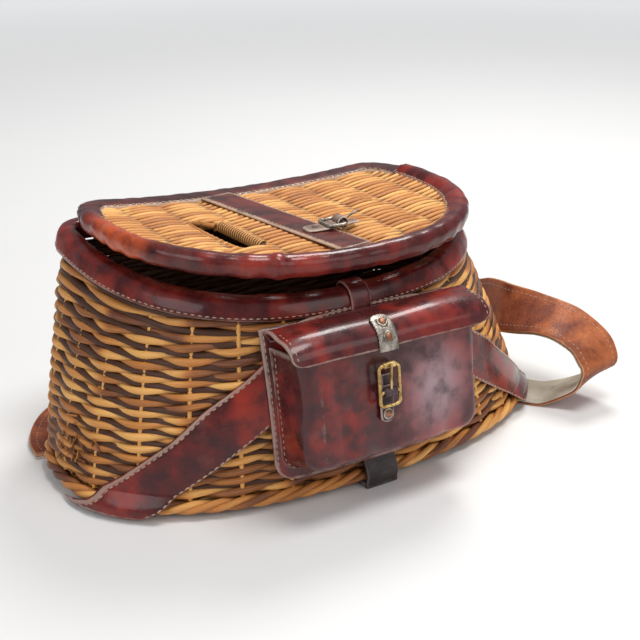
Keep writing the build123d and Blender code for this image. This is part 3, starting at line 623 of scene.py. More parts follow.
# Painted shade: darker lines between the turns of the cane, and a darkened core rod.
beside = np.abs(((rings - core[:, None]) * cane_run).sum(2))
draw_tube(bm, rings, tone=0.75, shade_and_sheen=np.clip(beside - 0.3, 0, 1) * 1.5)
middle_line = even(np.column_stack([cane_ends, lid_height(cane_ends[:, 0]) + 0.6]), 6)
draw_tube(bm, rod_rings(middle_line, 2.5, 8), tone=0.3, shade_and_sheen=0.8)
build(bm, "fish_hole_cane", willow, "lid", ["fish_hole_wrap"])

# ---------------------------------------------------------------- the rim binding
# Oxblood harness leather folded over the bent rim rod and sewn through the wall along its lower edge with
# waxed thread.  The wood hoop inside it never shows.


orange_wear = rgb(0.52, 0.085, 0.02)
black_spots = rgb(0.03, 0.011, 0.011)
sheen_color = rgb(0.44, 0.35, 0.39)


def leather(name, dark, middle, light, worn, gloss=0.26, cracks=0.0, wear=1.0, coat=0.4):
    """Old waxed leather: mottled, spotted nearly black, rubbed pale at its edges, with a pale painted sheen
    where asked.
    """
    finish = Finish(name)
    broad = finish.noise(22.0, 4.0)
    patchy = finish.noise(90.0, 4.0, 0.55)
    fine = finish.noise(700.0, 3.0)
    pores = finish.node("TexVoronoi", None, {"Vector": finish.place, "Scale": 950.0})
    color = finish.mix(finish.stretch(patchy * 0.5 + broad * 0.5, 0.34, 0.62), dark, middle)
    color = finish.mix(finish.stretch(broad + (patchy - 0.5) * 0.4, 0.46, 0.74) * 0.85, color, light)
    rubbed_through = finish.stretch(finish.attribute("tone"), 0.55, 1.0) * finish.stretch(patchy, 0.25, 0.55)
    color = finish.mix(rubbed_through, color, orange_wear)
    spots = finish.stretch(finish.noise(150.0, 2.0, 0.5), 0.50, 0.85) * 0.35
    color = finish.mix(spots, color, black_spots)
    dust = finish.stretch(finish.noise(34.0, 5.0, 0.6), 0.56, 0.80) * 0.16 * wear
    color = finish.mix(dust, color, worn)
    rub = finish.stretch(finish.attribute("edge") + (finish.noise(95.0, 5.0, 0.7) - 0.5), 0.50, 0.85)
    color = finish.mix(rub * 0.85 * wear, color, worn)
    # Painted sheen: a pale patch mixed in where the points ask for it, standing in for a reflection.
    sheen_share = finish.attribute("shade_and_sheen") * finish.stretch(broad + (patchy - 0.5) * 0.7, 0.26, 0.60)
    color = finish.mix(sheen_share * 0.72, color, sheen_color)
    height = fine * 0.25 + pores * 0.12 + patchy * 0.5
    if cracks:
        drift = finish.noise(60.0, 4.0) * 0.02
        warped = finish.node("VectorMath", {"operation": "ADD"}, {0: finish.place, 1: drift})
        split = finish.node("TexVoronoi", {"feature": "DISTANCE_TO_EDGE"}, {"Vector": warped, "Scale": 230.0})
        lines = finish.stretch(split, 0.0, 0.08) * cracks
        color = finish.mix(finish.stretch(split, 0.06, 0.0) * cracks * 0.5, color, dark)
        height = height + lines
    rough = finish.stretch(patchy, 0.3, 0.7, gloss, gloss + 0.20)
    finish.shader.inputs["Specular IOR Level"].default_value = 0.25
    finish.dress(color, rough, finish.bump(height, 0.5, 0.0007), coat=coat, coat_roughness=0.12)
    return finish.material


oxblood = leather(
    "oxblood_leather", dark=rgb(0.046, 0.008, 0.009), middle=rgb(0.15, 0.014, 0.012),
    light=rgb(0.36, 0.030, 0.014), worn=rgb(0.42, 0.27, 0.22), gloss=0.20, coat=0.30,
)
thread_finish = Finish("waxed_thread")
thread_color = thread_finish.mix(thread_finish.noise(260.0), rgb(0.22, 0.13, 0.09), rgb(0.60, 0.46, 0.32))
thread_finish.dress(thread_color, 0.7)
thread = thread_finish.material


def draw_stitches(bm, line, out, pitch=4.6, length=3.3, radius=0.5, sink=0.1):
    """Separate stitches laid along a line, each a small rounded bead of thread."""
    run = np.r_[0, np.cumsum(np.linalg.norm(np.diff(line, axis=0), axis=1))]
    at = np.arange(pitch / 2, run[-1], pitch)
    places = np.stack([np.interp(at, run, line[:, axis]) for axis in range(3)], 1)
    facing = unit(np.stack([np.interp(at, run, out[:, axis]) for axis in range(3)], 1))
    ways = along_line(places)
    for place, face, way in zip(places, facing, ways):
        way = way + np.array([0, 0, dice.uniform(-0.12, 0.12)])
        side = unit(np.cross(face, way))
        turned = Matrix((way * length / 2, side * radius, face * radius)).transposed().to_4x4()
        turned.translation = place - face * sink
        bmesh.ops.create_uvsphere(bm, u_segments=6, v_segments=4, radius=1, matrix=turned)


def stitch_piece(name, body, lines, slot="harness_leather", **sizes):
    bm = new_mesh()
    for line, out in lines:
        one = new_mesh()
        draw_stitches(one, line, out, **sizes)
        scratch = bpy.data.meshes.new("scratch")
        one.to_mesh(scratch)
        one.free()
        bm.from_mesh(scratch)
        bpy.data.meshes.remove(scratch)
    return build(bm, name, thread, body)


rim_points = 420


def rim_line(offset, height):
    """A line round the rim, by its distance from the wall and its height over the stitched edge."""
    ring = wall_ring(1 + height / wall_height, offset, rim_points)
    return ring + upward * saddle(ring[:, 0])[:, None]


binding_section = smooth_line([
    (2.4, 0.0), (2.9, 1.2), (2.9, 5.0), (2.5, 9.0), (0.6, 12.0), (-3.6, 13.0), (-7.6, 12.4), (-10.2, 9.6),
    (-10.9, 5.0), (-10.7, 0.8), (-9.4, 0.2), (-8.6, 2.6), (-4.0, 3.4), (0.2, 2.6), (0.5, 0.3),
], 26, closed=True)
rings = np.stack([rim_line(offset, height) for offset, height in binding_section], 1)
swell = [waver(rim_points, waves, seed) for waves, seed in ((30, 61), (44, 62), (60, 63))]
high = np.clip(binding_section[:, 1] / 12, 0, 1)
rings += (swell[0][:, None] * high * 0.45)[:, :, None] * upward
rim_out = ring_outward(rings[:, 0])
ripple = (swell[1][:, None] * np.sin(high * 3) + swell[2][:, None] * high * 0.5) * 0.28
rings += ripple[:, :, None] * rim_out[:, None]
bm = new_mesh()
low_edge = (binding_section[:, 1] < 1.3) & (binding_section[:, 0] > 1)
top_rub = 0.35 * np.clip((binding_section[:, 1] - 9) / 4, 0, 1)
draw_tube(bm, rings, edge=np.clip(low_edge * 0.85 + top_rub, 0, 1), closed=True)
build(bm, "rim_leather", oxblood, "basket", ["rim_binding", "rim_hoop"])
seam = rim_line(3.0, 1.9)
stitch_piece("rim_stitches", "basket", [(np.vstack([seam, seam[:1]]), np.vstack([rim_out, rim_out[:1]]))])

# ---------------------------------------------------------------- the lid bindings
# The front and ends of the lid carry a fat roll of leather over a cane hoop, rubbed orange at the left;
# the back has a flatter strip.  Both are sewn down to the weave along their inner edges.


def lid_part(offset, height, count, front=True, seam_y=58.0):
    """A line along the front or the back of the lid's edge."""
    ring = lid_ring(offset)
    if front:
        kept = ring[ring[:, 1] < seam_y]
    else:
        half = len(ring) // 2
        left, right = (part[part[:, 1] > seam_y] for part in (ring[:half], ring[half:]))
        kept = np.vstack([right, left])
    line = even(kept, count)
    return np.column_stack([line, lid_height(line[:, 0]) + height])


def lid_binding(name, section, front, seam_y, lumps, ripple_size, replaced, seed, material):
    """A leather binding of the section given, with a lump of its own size at each place in lumps."""
    count = 300
    rings = np.stack([lid_part(offset, height, count, front, seam_y) for offset, height in section], 1)
    middle = rings.mean(1, keepdims=True)
    size = 1 + 0.025 * waver(count, 26, seed)[:, None, None]
    for x, y, grown in lumps:
        reach = ((middle[:, 0, 0] - x) ** 2 + (middle[:, 0, 1] - y) ** 2) / 13
        size = size + (grown * np.exp(-reach))[:, None, None]
    rings = middle + (rings - middle) * size
    ripples = np.stack([waver(count, 30, seed + 3 + part) for part in range(3)])
    angle = np.arange(len(section)) / len(section) * 2 * math.pi
    wave = ripples[0][:, None] * np.cos(angle) + ripples[1][:, None] * np.sin(2 * angle)
    rings += (wave * ripple_size)[:, :, None] * unit(rings - rings.mean(1, keepdims=True))
    bm = new_mesh()
    from_edge = np.hypot(section[:, 0] - section[:, 0].min(), section[:, 1] - 3)
    inner_edge = np.clip(1.25 - from_edge / 3.4, 0, 1)
    rubbed = np.exp(-(((middle[:, 0, 0] + 134) / 20) ** 2) - ((middle[:, 0, 1] - 6) / 30) ** 2)
    draw_tube(bm, rings, tone=0.5 + 0.6 * rubbed[:, None], edge=inner_edge)
    return build(bm, name, material, "lid", replaced)


roll_section = smooth_line([
    (-0.3, 1.2), (-0.3, 4.2), (-2.2, 7.4), (-6.2, 9.1), (-10.6, 8.4), (-13.8, 6.0), (-15.6, 3.9),
    (-16.4, 3.0), (-16.0, 2.2), (-15.2, -1.4), (-13.6, -3.6), (-9.8, -5.6), (-5.6, -6.0), (-2.4, -4.4),
    (-0.7, -1.6),
], 26, closed=True)
roll_lumps = [
    (-65, -72, 0.15), (-44, -84, 0.20), (-22, -87, 0.18), (6, -86, 0.17), (30, -84, 0.10),
    (-120, -20, 0.05), (92, -58, 0.10), (-100, -46, 0.06), (60, -77, 0.09), (-82, -64, 0.05),
]
roll_replaces = ["lid_binding_front", "lid_hoop"]
lid_binding("lid_roll", roll_section, True, 58.0, roll_lumps, 0.24, roll_replaces, 70, oxblood)
strip_section = smooth_line([
    (-0.2, 1.0), (-0.4, 3.6), (-2.4, 5.2), (-7.0, 5.6), (-13.0, 5.2), (-17.6, 4.4), (-19.3, 3.4),
    (-19.0, 2.6), (-18.6, -0.6), (-18.0, -2.2), (-9.0, -2.7), (-2.4, -2.4),
], 22, closed=True)
brown_leather = leather(
    "brown_leather", dark=rgb(0.034, 0.009, 0.009), middle=rgb(0.095, 0.017, 0.014),
    light=rgb(0.20, 0.030, 0.020), worn=rgb(0.60, 0.43, 0.31), gloss=0.24, coat=0.3,
)
lid_binding("lid_back_strip", strip_section, False, 57.4, [], 0.16, ["lid_binding_back"], 90, brown_leather)


def level_out(line):
    return np.tile(upward, (len(line), 1))


front_seam = lid_part(-15.3, 4.6, 300)
back_seam = lid_part(-17.6, 4.7, 300, False, 57.4)
stitch_piece("lid_stitches", "lid", [(front_seam, level_out(front_seam)), (back_seam, level_out(back_seam))])

# ---------------------------------------------------------------- straps sewn round the basket
# A wide arch of harness leather lies on the front wall, steps out over the foot border and folds under the
# foot at its left end.  A dark strap runs under the bottom and a short way up the front, and up the back.


def shape_at(rise):
    return (start + (end - start) * rise for start, end in zip(foot_shape, rim_shape))


def front_curve(x, rise, offset):
    """How far back the front of the wall is, before the rim's tilt."""
    half, front, widest, _, _, power = shape_at(rise)
    grown = bulge * rise * (1 - rise) + offset
    share = np.clip(np.abs(x - lean * rise) / (half + grown), 0, 1) ** power
    return widest - (widest + front + grown) * (1 - share) ** (1 / power)


def back_curve(x, rise, offset):
    """How far back the back of the wall is, before the rim's tilt."""
    _, _, _, behind, corner, _ = shape_at(rise)
    return behind + bulge * rise * (1 - rise) + offset - 2 * (1 - (x / corner) ** 2)


def front_point(x, z, offset, back=False):
    """The point on the front or the back of the wall, for a layer that steps out over the border."""
    x, z, offset = np.broadcast_arrays(np.asarray(x, float), z, offset)
    curve = back_curve if back else front_curve
    flat_y = x * 0 + (95.0 if back else -85.0)
    for _ in range(6):
        rise = np.clip((z - foot_z) / wall_height, 0, 1)
        rise = np.clip((z - foot_z - flat_y * np.sin(math.atan(slope) * rise)) / wall_height, 0, 1.2)
        step_out = 2.4 * np.interp(rise, (0, 0.0422, 0.0704, 0.1196), (1.1, 1.75, 1.35, 0))
        flat_y = curve(x, rise, offset + step_out)
    return np.stack([x, flat_y * np.cos(math.atan(slope) * rise), z], -1)


def draw_band(bm, place, steps, width, low, high, columns=10, rub=2.4, start=0.0, end=1.0):
    """A strap with rounded edges.  place gives the point at a share along, a share across and a height."""
    near = np.array([0.0, 0.35, 1.0, 2.4]) / width
    inside = np.linspace(0.5, columns - 0.5, columns) / columns * (1 - 2 * near[-1]) + near[-1]
    outer = np.r_[near, inside, 1 - near[::-1]]
    fall = np.minimum(0.9, (high - low) / 2) * np.r_[1.0, 0.4, 0.08, np.zeros(columns + 2), 0.08, 0.4, 1.0]
    across = np.r_[outer, outer[::-1]]
    height = np.r_[high - fall, low + fall[::-1] * 0.3]
    along = np.linspace(start, end, steps)
    rings = place(along[:, None], across[None], height[None])
    edge = np.r_[np.clip(1 - np.minimum(outer, 1 - outer) * width / rub, 0, 1), outer * 0 + 0.2]
    ends = np.clip(1 - np.minimum(along - start, end - along) * steps / 3, 0, 0.7)
    draw_tube(bm, rings, edge=np.maximum(edge[None], ends[:, None]))


def seam_on(place, across, height, steps, start=0.0, end=1.0):
    """A line of stitching at one share across a band, with the way out from it."""
    along = np.linspace(start, end, steps)[:, None]
    line = place(along, np.array([[across]]), np.array([[height]]))[:, 0]
    over = place(along, np.array([[across]]), np.array([[height + 1.0]]))[:, 0]
    return line, unit(over - line)


def along_pairs(points, share):
    """Points at a share along an even line, for arrays of shares."""
    at = np.linspace(0, 1, len(points))
    return np.stack([np.interp(share, at, points[:, axis]) for axis in range(points.shape[1])], -1)


# The arch's upper and lower edges on the right half of the wall; the left half mirrors them.
arch_upper = [(44, 123.6), (75, 99), (90, 88), (114, 72), (132, 55.5), (152, 39), (171, 22), (192, 3.5)]
arch_lower = [(0, 90), (45, 82), (77, 60), (98, 46), (118, 32.5), (137, 20), (153, 9), (162, 3.5)]
arch_upper_line = smooth_line([(-x, z) for x, z in arch_upper[::-1]] + arch_upper, 260)
arch_lower_line = smooth_line([(-x, z) for x, z in arch_lower[:0:-1]] + arch_lower, 260)


def arch_place(along, across, height):
    upper = along_pairs(arch_upper_line, along)
    lower = along_pairs(arch_lower_line, along)
    spot = lower + (upper - lower) * across[..., None]
    z = spot[..., 1]
    return front_point(spot[..., 0] + lean * (z - foot_z) / wall_height, z, height)


bm = new_mesh()
draw_band(bm, arch_place, 260, 42, 0.4, 3.0, columns=16, rub=3.4)
build(bm, "arch_harness", oxblood, "basket", ["harness_front"])
arch_seams = [seam_on(arch_place, across, 3.0, 400, 0.01, 0.99) for across in (0.042, 0.958)]
stitch_piece("arch_stitches", "basket", arch_seams, length=3.5, radius=0.55)

under_outer = smooth_line([(-185, 4), (-180, -16), (-168, -36), (-150, -56)], 30)
under_inner = np.array([(-152.0, 48.0), (-150.0, 0.0), (-147.0, -48.0)])


def under_place(along, across, height):
    outer = along_pairs(under_outer, along)
    inner = along_pairs(under_inner, along)
    spot = outer + (inner - outer) * across[..., None]
    return np.stack([spot[..., 0], spot[..., 1], height + spot[..., 0] * 0], -1)


bm = new_mesh()
draw_band(bm, under_place, 30, 40, 0.4, 3.2)
build(bm, "harness_fold", oxblood, "basket", ["harness_under_left"])

dark_leather = leather(
    "dark_strap_leather", dark=rgb(0.022, 0.017, 0.017), middle=rgb(0.05, 0.04, 0.038),
    light=rgb(0.085, 0.07, 0.066), worn=rgb(0.20, 0.17, 0.15), gloss=0.45, cracks=0.4, wear=0.7, coat=0.15,
)
base_strap_left = -14.5
base_strap_width = 25.0


def base_front_place(along, across, height):
    x = base_strap_left + base_strap_width * across + along * 0
    return front_point(x, 1.0 + 66.0 * along, height)


def base_back_place(along, across, height):
    x = base_strap_left + base_strap_width * across + along * 0
    return front_point(x, 1.0 + 138.0 * along, height, back=True)


def base_under_place(along, across, height):
    x = base_strap_left + base_strap_width * across
    return np.stack(np.broadcast_arrays(x, -100.0 + 199.0 * along, height), -1)


bm = new_mesh()
draw_band(bm, base_front_place, 50, base_strap_width, 0.4, 3.0)
draw_band(bm, base_back_place, 80, base_strap_width, 0.4, 3.0)
draw_band(bm, base_under_place, 12, base_strap_width, 0.3, 3.6)
base_runs = ["base_strap", "base_strap_front", "base_strap_back"]
build(bm, "base_strap_run", dark_leather, "basket", base_runs)

# The closing tab is folded over the binding: its path goes up outside, over the rim and down inside.
tab_left = -15.5
tab_width = 15.0
tab_path = smooth_line([
    (4.2, -1.2), (4.5, 2.0), (4.5, 6.0), (4.1, 10.0), (2.0, 13.4), (-3.6, 14.6), (-8.6, 13.6),
    (-11.9, 10.2), (-12.5, 5.0), (-12.3, 0.6),
], 44)
tab_run = unit(np.gradient(tab_path, axis=0))


def tab_place(along, across, height):
    spot = along_pairs(tab_path, along)
    way = along_pairs(tab_run, along)
    offset = spot[..., 0] + way[..., 1] * (height - 1.0)
    rise = spot[..., 1] - way[..., 0] * (height - 1.0)
    x = tab_left + tab_width * across + along * 0
    level = 1 + rise / wall_height
    flat_y = front_curve(x, level, offset)
    tilt = math.atan(slope) * level
    z = foot_z + wall_height * level + flat_y * np.sin(tilt) + saddle(x)
    return np.stack([x, flat_y * np.cos(tilt), z], -1)


bm = new_mesh()
draw_band(bm, tab_place, 44, tab_width, 0.0, 2.0)
build(bm, "closing_loop", oxblood, "basket", ["closing_tab"])

# ---------------------------------------------------------------- leather on the lid
# A flat band runs over the weave from the front roll to the back.  Three hinge strips come out from under
# the back strip, bend round the hinge's axis and hang down behind the wall, where they are sewn on.
band_width = 27.0
band_ends = np.array([(-4.5, -70.0), (-30.5, 80.5)])
band_way = unit(np.diff(band_ends, axis=0))[0]


def center_place(along, across, height):
    spot = band_ends[0] + (band_ends[1] - band_ends[0]) * along[..., None]
    spot = spot + (band_way[::-1] * (1, -1)) * (band_width * (across[..., None] - 0.5))
    x, y, height = np.broadcast_arrays(spot[..., 0], spot[..., 1], height)
    return np.stack([x, y, lid_height(x) + height], -1)


bm = new_mesh()
draw_band(bm, center_place, 60, band_width, 3.5, 5.5, rub=6.0)
build(bm, "lid_band", brown_leather, "lid", ["lid_center_band"])
band_seams = [seam_on(center_place, across, 5.5, 80, 0.02, 0.98) for across in (0.09, 0.91)]
stitch_piece("lid_band_stitches", "lid", band_seams, pitch=4.0, length=2.9, radius=0.45)

hinge_width = 24.0
hinge_path = smooth_line([
    (84.0, -2.4), (92.0, -2.4), (98.6, -2.9), (102.4, -2.6), (105.0, -3.4), (106.2, -5.6), (105.8, -9.0),
    (104.9, -15.0), (104.4, -26.0), (104.3, -41.0),
], 60)
hinge_run = unit(np.gradient(hinge_path, axis=0))
for side, hinge_x in (("left", -82.0), ("center", -33.0), ("right", 66.0)):
    axis_z = lid_height(lid_x) + 3.5 + lid_slope * (hinge_x - lid_x)

    def hinge_place(along, across, height):
        spot = along_pairs(hinge_path, along)
        way = along_pairs(hinge_run, along)
        x = hinge_x + hinge_width * (across - 0.5) + along * 0
        y = spot[..., 0] - way[..., 1] * height
        z = axis_z + spot[..., 1] + way[..., 0] * height + lid_slope * (x - hinge_x)
        return np.stack(np.broadcast_arrays(x, y, z), -1)

    bm = new_mesh()
    draw_band(bm, hinge_place, 60, hinge_width, -1.0, 1.0)
    replaced = [f"hinge_lower_{side}", f"hinge_upper_{side}"]
    hinge = build(bm, f"hinge_strip_{side}", oxblood, None, replaced)
    start = (hinge_x * MM, 105.5 * MM, (axis_z - 7) * MM)
    end = (hinge_x * MM, 99.5 * MM, (axis_z - 3.5) * MM)
    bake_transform(hinge, "basket", "lid", start, end)
    wall_seams = [seam_on(hinge_place, across, 1.0, 30, 0.62, 0.98) for across in (0.1, 0.9)]
    stitch_piece(f"hinge_wall_stitches_{side}", "basket", wall_seams, pitch=3.8, length=2.7, radius=0.4)

# ---------------------------------------------------------------- the pouch
# A soft box pouch on the front of the basket: a flat back panel, and a moulded body that is open at the
# top under the flap.  Its leather is creased and rubbed pale along the folds.
pouch_leather = leather(
    "pouch_leather", dark=rgb(0.040, 0.009, 0.011), middle=rgb(0.120, 0.014, 0.014),
    light=rgb(0.33, 0.024, 0.013), worn=rgb(0.40, 0.28, 0.24), gloss=0.22,
)
pouch_x = -8.5
pouch_y = -87.804
pouch_z = 75.0
lean_sine = 0.1394
lean_cosine = 0.9902
panel_half = 72.0
panel_top = 48.8
panel_bottom = -53.0
panel_corner = 14.0
body_half = 68.0
body_top = 37.0
body_bottom = -46.0
body_depth = 34.0
body_corner = 12.0
body_round = 6.0
leather_wall = 2.4


def pouch_point(u, v, w):
    """A point from its place across, up and out of the pouch."""
    u, v, w = np.broadcast_arrays(u, v, w)
    y = pouch_y + lean_sine * v - lean_cosine * w
    z = pouch_z + lean_cosine * v + lean_sine * w
    return np.stack([pouch_x + u, y, z], -1)


def wall_reach(u, v, offset):
    """How far out from the pouch's plane the wall is, under a layer of the offset given."""
    reach = 0.0 * (u + v)
    for _ in range(3):
        y = front_point(pouch_x + u, pouch_z + lean_cosine * v + lean_sine * reach, offset)[..., 1]
        reach = (pouch_y + lean_sine * v - y) / lean_cosine
    return reach


def panel_place(along, across, height):
    v = panel_top + (panel_bottom - panel_top) * along
    low = np.clip((panel_bottom + panel_corner - v) / panel_corner, 0, 1)
    half = panel_half - panel_corner * (1 - np.sqrt(1 - low**2))
    u = (2 * across - 1) * half
    u, v, height = np.broadcast_arrays(u, v, height)
    return pouch_point(u, v, wall_reach(u, v, height))


bm = new_mesh()
draw_band(bm, panel_place, 70, 2 * panel_half, 3.6, 5.8, columns=24, rub=5.0)
build(bm, "pouch_panel", pouch_leather, "basket", ["pouch_back"])
panel_seams = [seam_on(panel_place, across, 5.8, 90, 0.03, 0.88) for across in (0.014, 0.986)]
stitch_piece("pouch_panel_stitches", "basket", panel_seams, pitch=4.2, length=3.1, radius=0.5)


def pouch_path(half, bottom, corner, top):
    """A line down the left side, round under the bottom and up the right side."""
    quarter = np.linspace(0, math.pi / 2, 8)
    left = np.stack([-corner * np.cos(quarter), -corner * np.sin(quarter)], 1)
    left = left + (corner - half, bottom + corner)
    side = np.linspace(top, bottom + corner, 15)[:-1]
    down = np.stack([side * 0 - half, side], 1)
    floor_line = np.stack([np.linspace(-half + corner, half - corner, 28)[1:-1], np.full(26, bottom)], 1)
    half_path = np.vstack([down, left])
    return np.vstack([half_path, floor_line, half_path[::-1] * (-1, 1)])


def pouch_levels(inset, start_offset):
    """The body's outer or inner skin as nested lines, from the back panel out to the middle of its face."""
    levels = []
    for out in (0.0, 0.25, 0.5, 0.75, 1.0):
        levels.append((0.0, (body_depth - body_round) * out, out))
    for angle in np.linspace(0, math.pi / 2, 7)[1:]:
        bend = body_round * math.sin(angle)
        levels.append((body_round * (1 - math.cos(angle)), body_depth - body_round + bend, 1.0))
    for inward in np.linspace(body_round, body_half - 2.0, 22)[1:]:
        levels.append((inward, body_depth, 1.0))
    rows = []
    for inward, out, share in levels:
        half = body_half - 2.0 * out / body_depth - inward - inset
        half = max(half, 0.05)
        bottom = body_bottom + 8.0 * out / body_depth + inward * 0.75 + inset
        corner = max(body_corner - inward * 0.5, 0.04) * min(1, half / body_corner)
        path = pouch_path(half, bottom, corner, body_top)
        u, v = path[:, 0], path[:, 1]
        base = wall_reach(u, v, start_offset)
        w = base + (out - base) * share**0.5 if share < 1 else out - inset + u * 0
        lower = np.clip((20 - v) / 60, 0, 1)
        face = np.clip((out - 26) / 8, 0, 1)
        fold = np.sin(u / 8.5 + 1.4 * np.sin(v / 26) + 0.6) + 0.6 * np.sin(u / 4.6 - v / 31)
        left_crease = np.exp(-(((u + 42 + 0.1 * v) / 3.2) ** 2)) * (v < 36)
        right_crease = np.exp(-(((u - 46 - 0.16 * v) / 4.0) ** 2)) * lower
        w = w + face * (0.75 * lower * fold - 1.2 * left_crease) - face * 1.4 * right_crease
        side_fold = (1 - face) * share * 0.9 * np.sin(v / 9.0 + out / 7)
        rows.append(pouch_point(u + np.sign(u) * side_fold * (np.abs(u) > 40), v, w))
    return np.array(rows)


outer_skin = pouch_levels(0.0, 6.1)
inner_skin = pouch_levels(leather_wall, 6.1)
rings = np.concatenate([outer_skin, inner_skin[:, ::-1]], 1)
path_share = np.abs(np.linspace(-1, 1, outer_skin.shape[1]))
top_rub = np.clip((path_share - 0.955) / 0.045, 0, 1)
level_rub = np.zeros(len(outer_skin))
level_rub[[0, 1]] = (0.8, 0.35)
level_rub[7:11] = 0.34
across_face = outer_skin[:, :, 0] - pouch_x
up_face = (outer_skin[:, :, 2] - pouch_z) / 0.99
on_face = (np.arange(len(outer_skin)) > 8)[:, None]
fold_rub = 0.0
for fold_x, strength, width in ((-55, 0.52, 3.5), (45, 0.34, 1.6), (58, 0.34, 1.6), (-40, 0.20, 1.8)):
    fold_rub = fold_rub + strength * np.exp(-(((across_face - fold_x) / width) ** 2))
edge = np.maximum(np.maximum(top_rub[None], level_rub[:, None]), fold_rub)
edge = np.concatenate([edge, edge[:, ::-1] * 0.5], 1)
# Painted sheen: a pale patch on the right half of the body's face, standing in for a reflection.
sheen_patch = np.exp(-(((across_face - 33) / 21) ** 2) - (((up_face - 2) / 27) ** 2)) * on_face
sheen_patch = np.concatenate([sheen_patch, sheen_patch * 0], 1)
bm = new_mesh()
draw_tube(bm, rings, edge=edge, shade_and_sheen=sheen_patch, capped=False)
build(bm, "pouch_body", pouch_leather, "basket", ["pouch_front"])
body_seam = (outer_skin[1], unit(outer_skin[1] - outer_skin[1].mean(0)))
stitch_piece("pouch_body_stitches", "basket", [body_seam], pitch=4.2, length=3.0, radius=0.5)

# The flap: one sheet of leather that bends over the pouch from a fold along its back edge.  Its ends curl
# and its lower edge is rubbed pale.
flap_left = 74.0
flap_right = 78.0
flap_corner = 9.0
flap_path = smooth_line([
    (2.6, 43.0), (3.2, 47.6), (6.0, 50.6), (14.0, 51.4), (24.0, 49.8), (31.0, 46.2), (35.6, 40.5),
    (36.8, 33.0),
], 60)
flap_run = unit(np.gradient(flap_path, axis=0))


def flap_place(along, across, height):
    spot = along_pairs(flap_path, along)
    way = along_pairs(flap_run, along)
    low = np.clip((along - 0.86) / 0.14, 0, 1)
    start = np.clip(along / 0.10, 0, 1)
    rounded = flap_corner * (1 - np.sqrt(1 - low**2))
    left = flap_left - rounded - 4 * (1 - start)
    right = flap_right - rounded - 6 * (1 - start)
    u = -left + (left + right) * across
    droop = np.clip((np.abs(u - 2) - 56) / 20, 0, 1) ** 2
    sag = droop * 3.2 * (1 - np.abs(2 * along - 0.9)) + 0.35 * np.sin(u / 11.0 + 3 * along)
    w = spot[..., 0] - way[..., 1] * height - 1.0 * droop * along
    v = spot[..., 1] + way[..., 0] * height - np.clip(sag, -0.4, 4) * np.clip(along * 4 - 0.6, 0, 1)
    return pouch_point(*np.broadcast_arrays(u, v, w))


bm = new_mesh()
draw_band(bm, flap_place, 64, flap_left + flap_right, -1.2, 1.2, columns=36, rub=3.5)
flap = build(bm, "pouch_cover", pouch_leather, None, ["pouch_flap"])
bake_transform(flap, "basket", "flap", pouch_point(0, 50.0, 3.5) * MM, pouch_point(0, 50.0, 9.0) * MM)
flap_seams = [seam_on(flap_place, across, 1.2, 60, 0.36, 0.93) for across in (0.024, 0.976)]
stitch_piece("pouch_cover_stitches", "flap", flap_seams, pitch=4.0, length=2.8, radius=0.42)

# ---------------------------------------------------------------- metal fittings of the pouch
# A pitted zinc plate is riveted to the flap with two copper rivets.  Below it a brass roller buckle hangs
# from a dark leather tongue held by one more rivet.


def metal(name, dark, light, stain, rough, pits):
    finish = Finish(name)
    patches = finish.noise(160.0, 5.0, 0.65)
    color = finish.mix(finish.stretch(patches, 0.36, 0.62), dark, light)
    spots = finish.stretch(finish.noise(420.0, 4.0, 0.7), 0.56, 0.66)
    color = finish.mix(spots * 0.75, color, stain)
    height = finish.noise(pits, 3.0) + patches * 0.4
    roughness = finish.stretch(patches, 0.3, 0.7, rough + 0.14, rough)
    return finish.dress(color, roughness, finish.bump(height, 0.5, 0.0005), metallic=0.9)


tongue_leather = leather(
    "tongue_leather", dark=rgb(0.03, 0.018, 0.022), middle=rgb(0.08, 0.045, 0.05),
    light=rgb(0.15, 0.09, 0.095), worn=rgb(0.55, 0.40, 0.36), gloss=0.4, cracks=0.3, coat=0.15,
)
brass = metal(
    "aged_brass", dark=rgb(0.36, 0.20, 0.055), light=rgb(0.78, 0.56, 0.24), stain=rgb(0.10, 0.06, 0.025),
    rough=0.30, pits=800.0,
)
zinc = metal(
    "dull_zinc", dark=rgb(0.15, 0.13, 0.11), light=rgb(0.54, 0.49, 0.42), stain=rgb(0.06, 0.043, 0.034),
    rough=0.34, pits=900.0,
)
copper = metal(
    "old_copper", dark=rgb(0.20, 0.085, 0.05), light=rgb(0.52, 0.25, 0.15), stain=rgb(0.07, 0.035, 0.03),
    rough=0.38, pits=700.0,
)
pouch_buckle = ("pouch_buckle_frame", "pouch_buckle_prong", "pouch_buckle_roller")
lid_buckle = ("lid_buckle_frame", "lid_buckle_prong")
for names, material in ((pouch_buckle, brass), (lid_buckle, zinc)):
    for name in names:
        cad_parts[name].data.materials.clear()
        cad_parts[name].data.materials.append(material)


def draw_lathe(bm, centre, axis, profile, sides=20):
    """A turned shape: rings of the radius and height given, from the foot up to the crown."""
    axis = unit(np.asarray(axis, float)[None])[0]
    side = unit(np.cross(axis, (1.0, 0.1, 0.0))[None])[0]
    other = np.cross(axis, side)
    angle = np.linspace(0, 2 * math.pi, sides, endpoint=False)
    round_way = np.cos(angle)[:, None] * side + np.sin(angle)[:, None] * other
    rings = np.array([np.asarray(centre) + axis * high + round_way * radius for radius, high in profile])
    draw_tube(bm, rings)


plate_start = 0.56
plate_share = 0.475
plate_width = 14.0


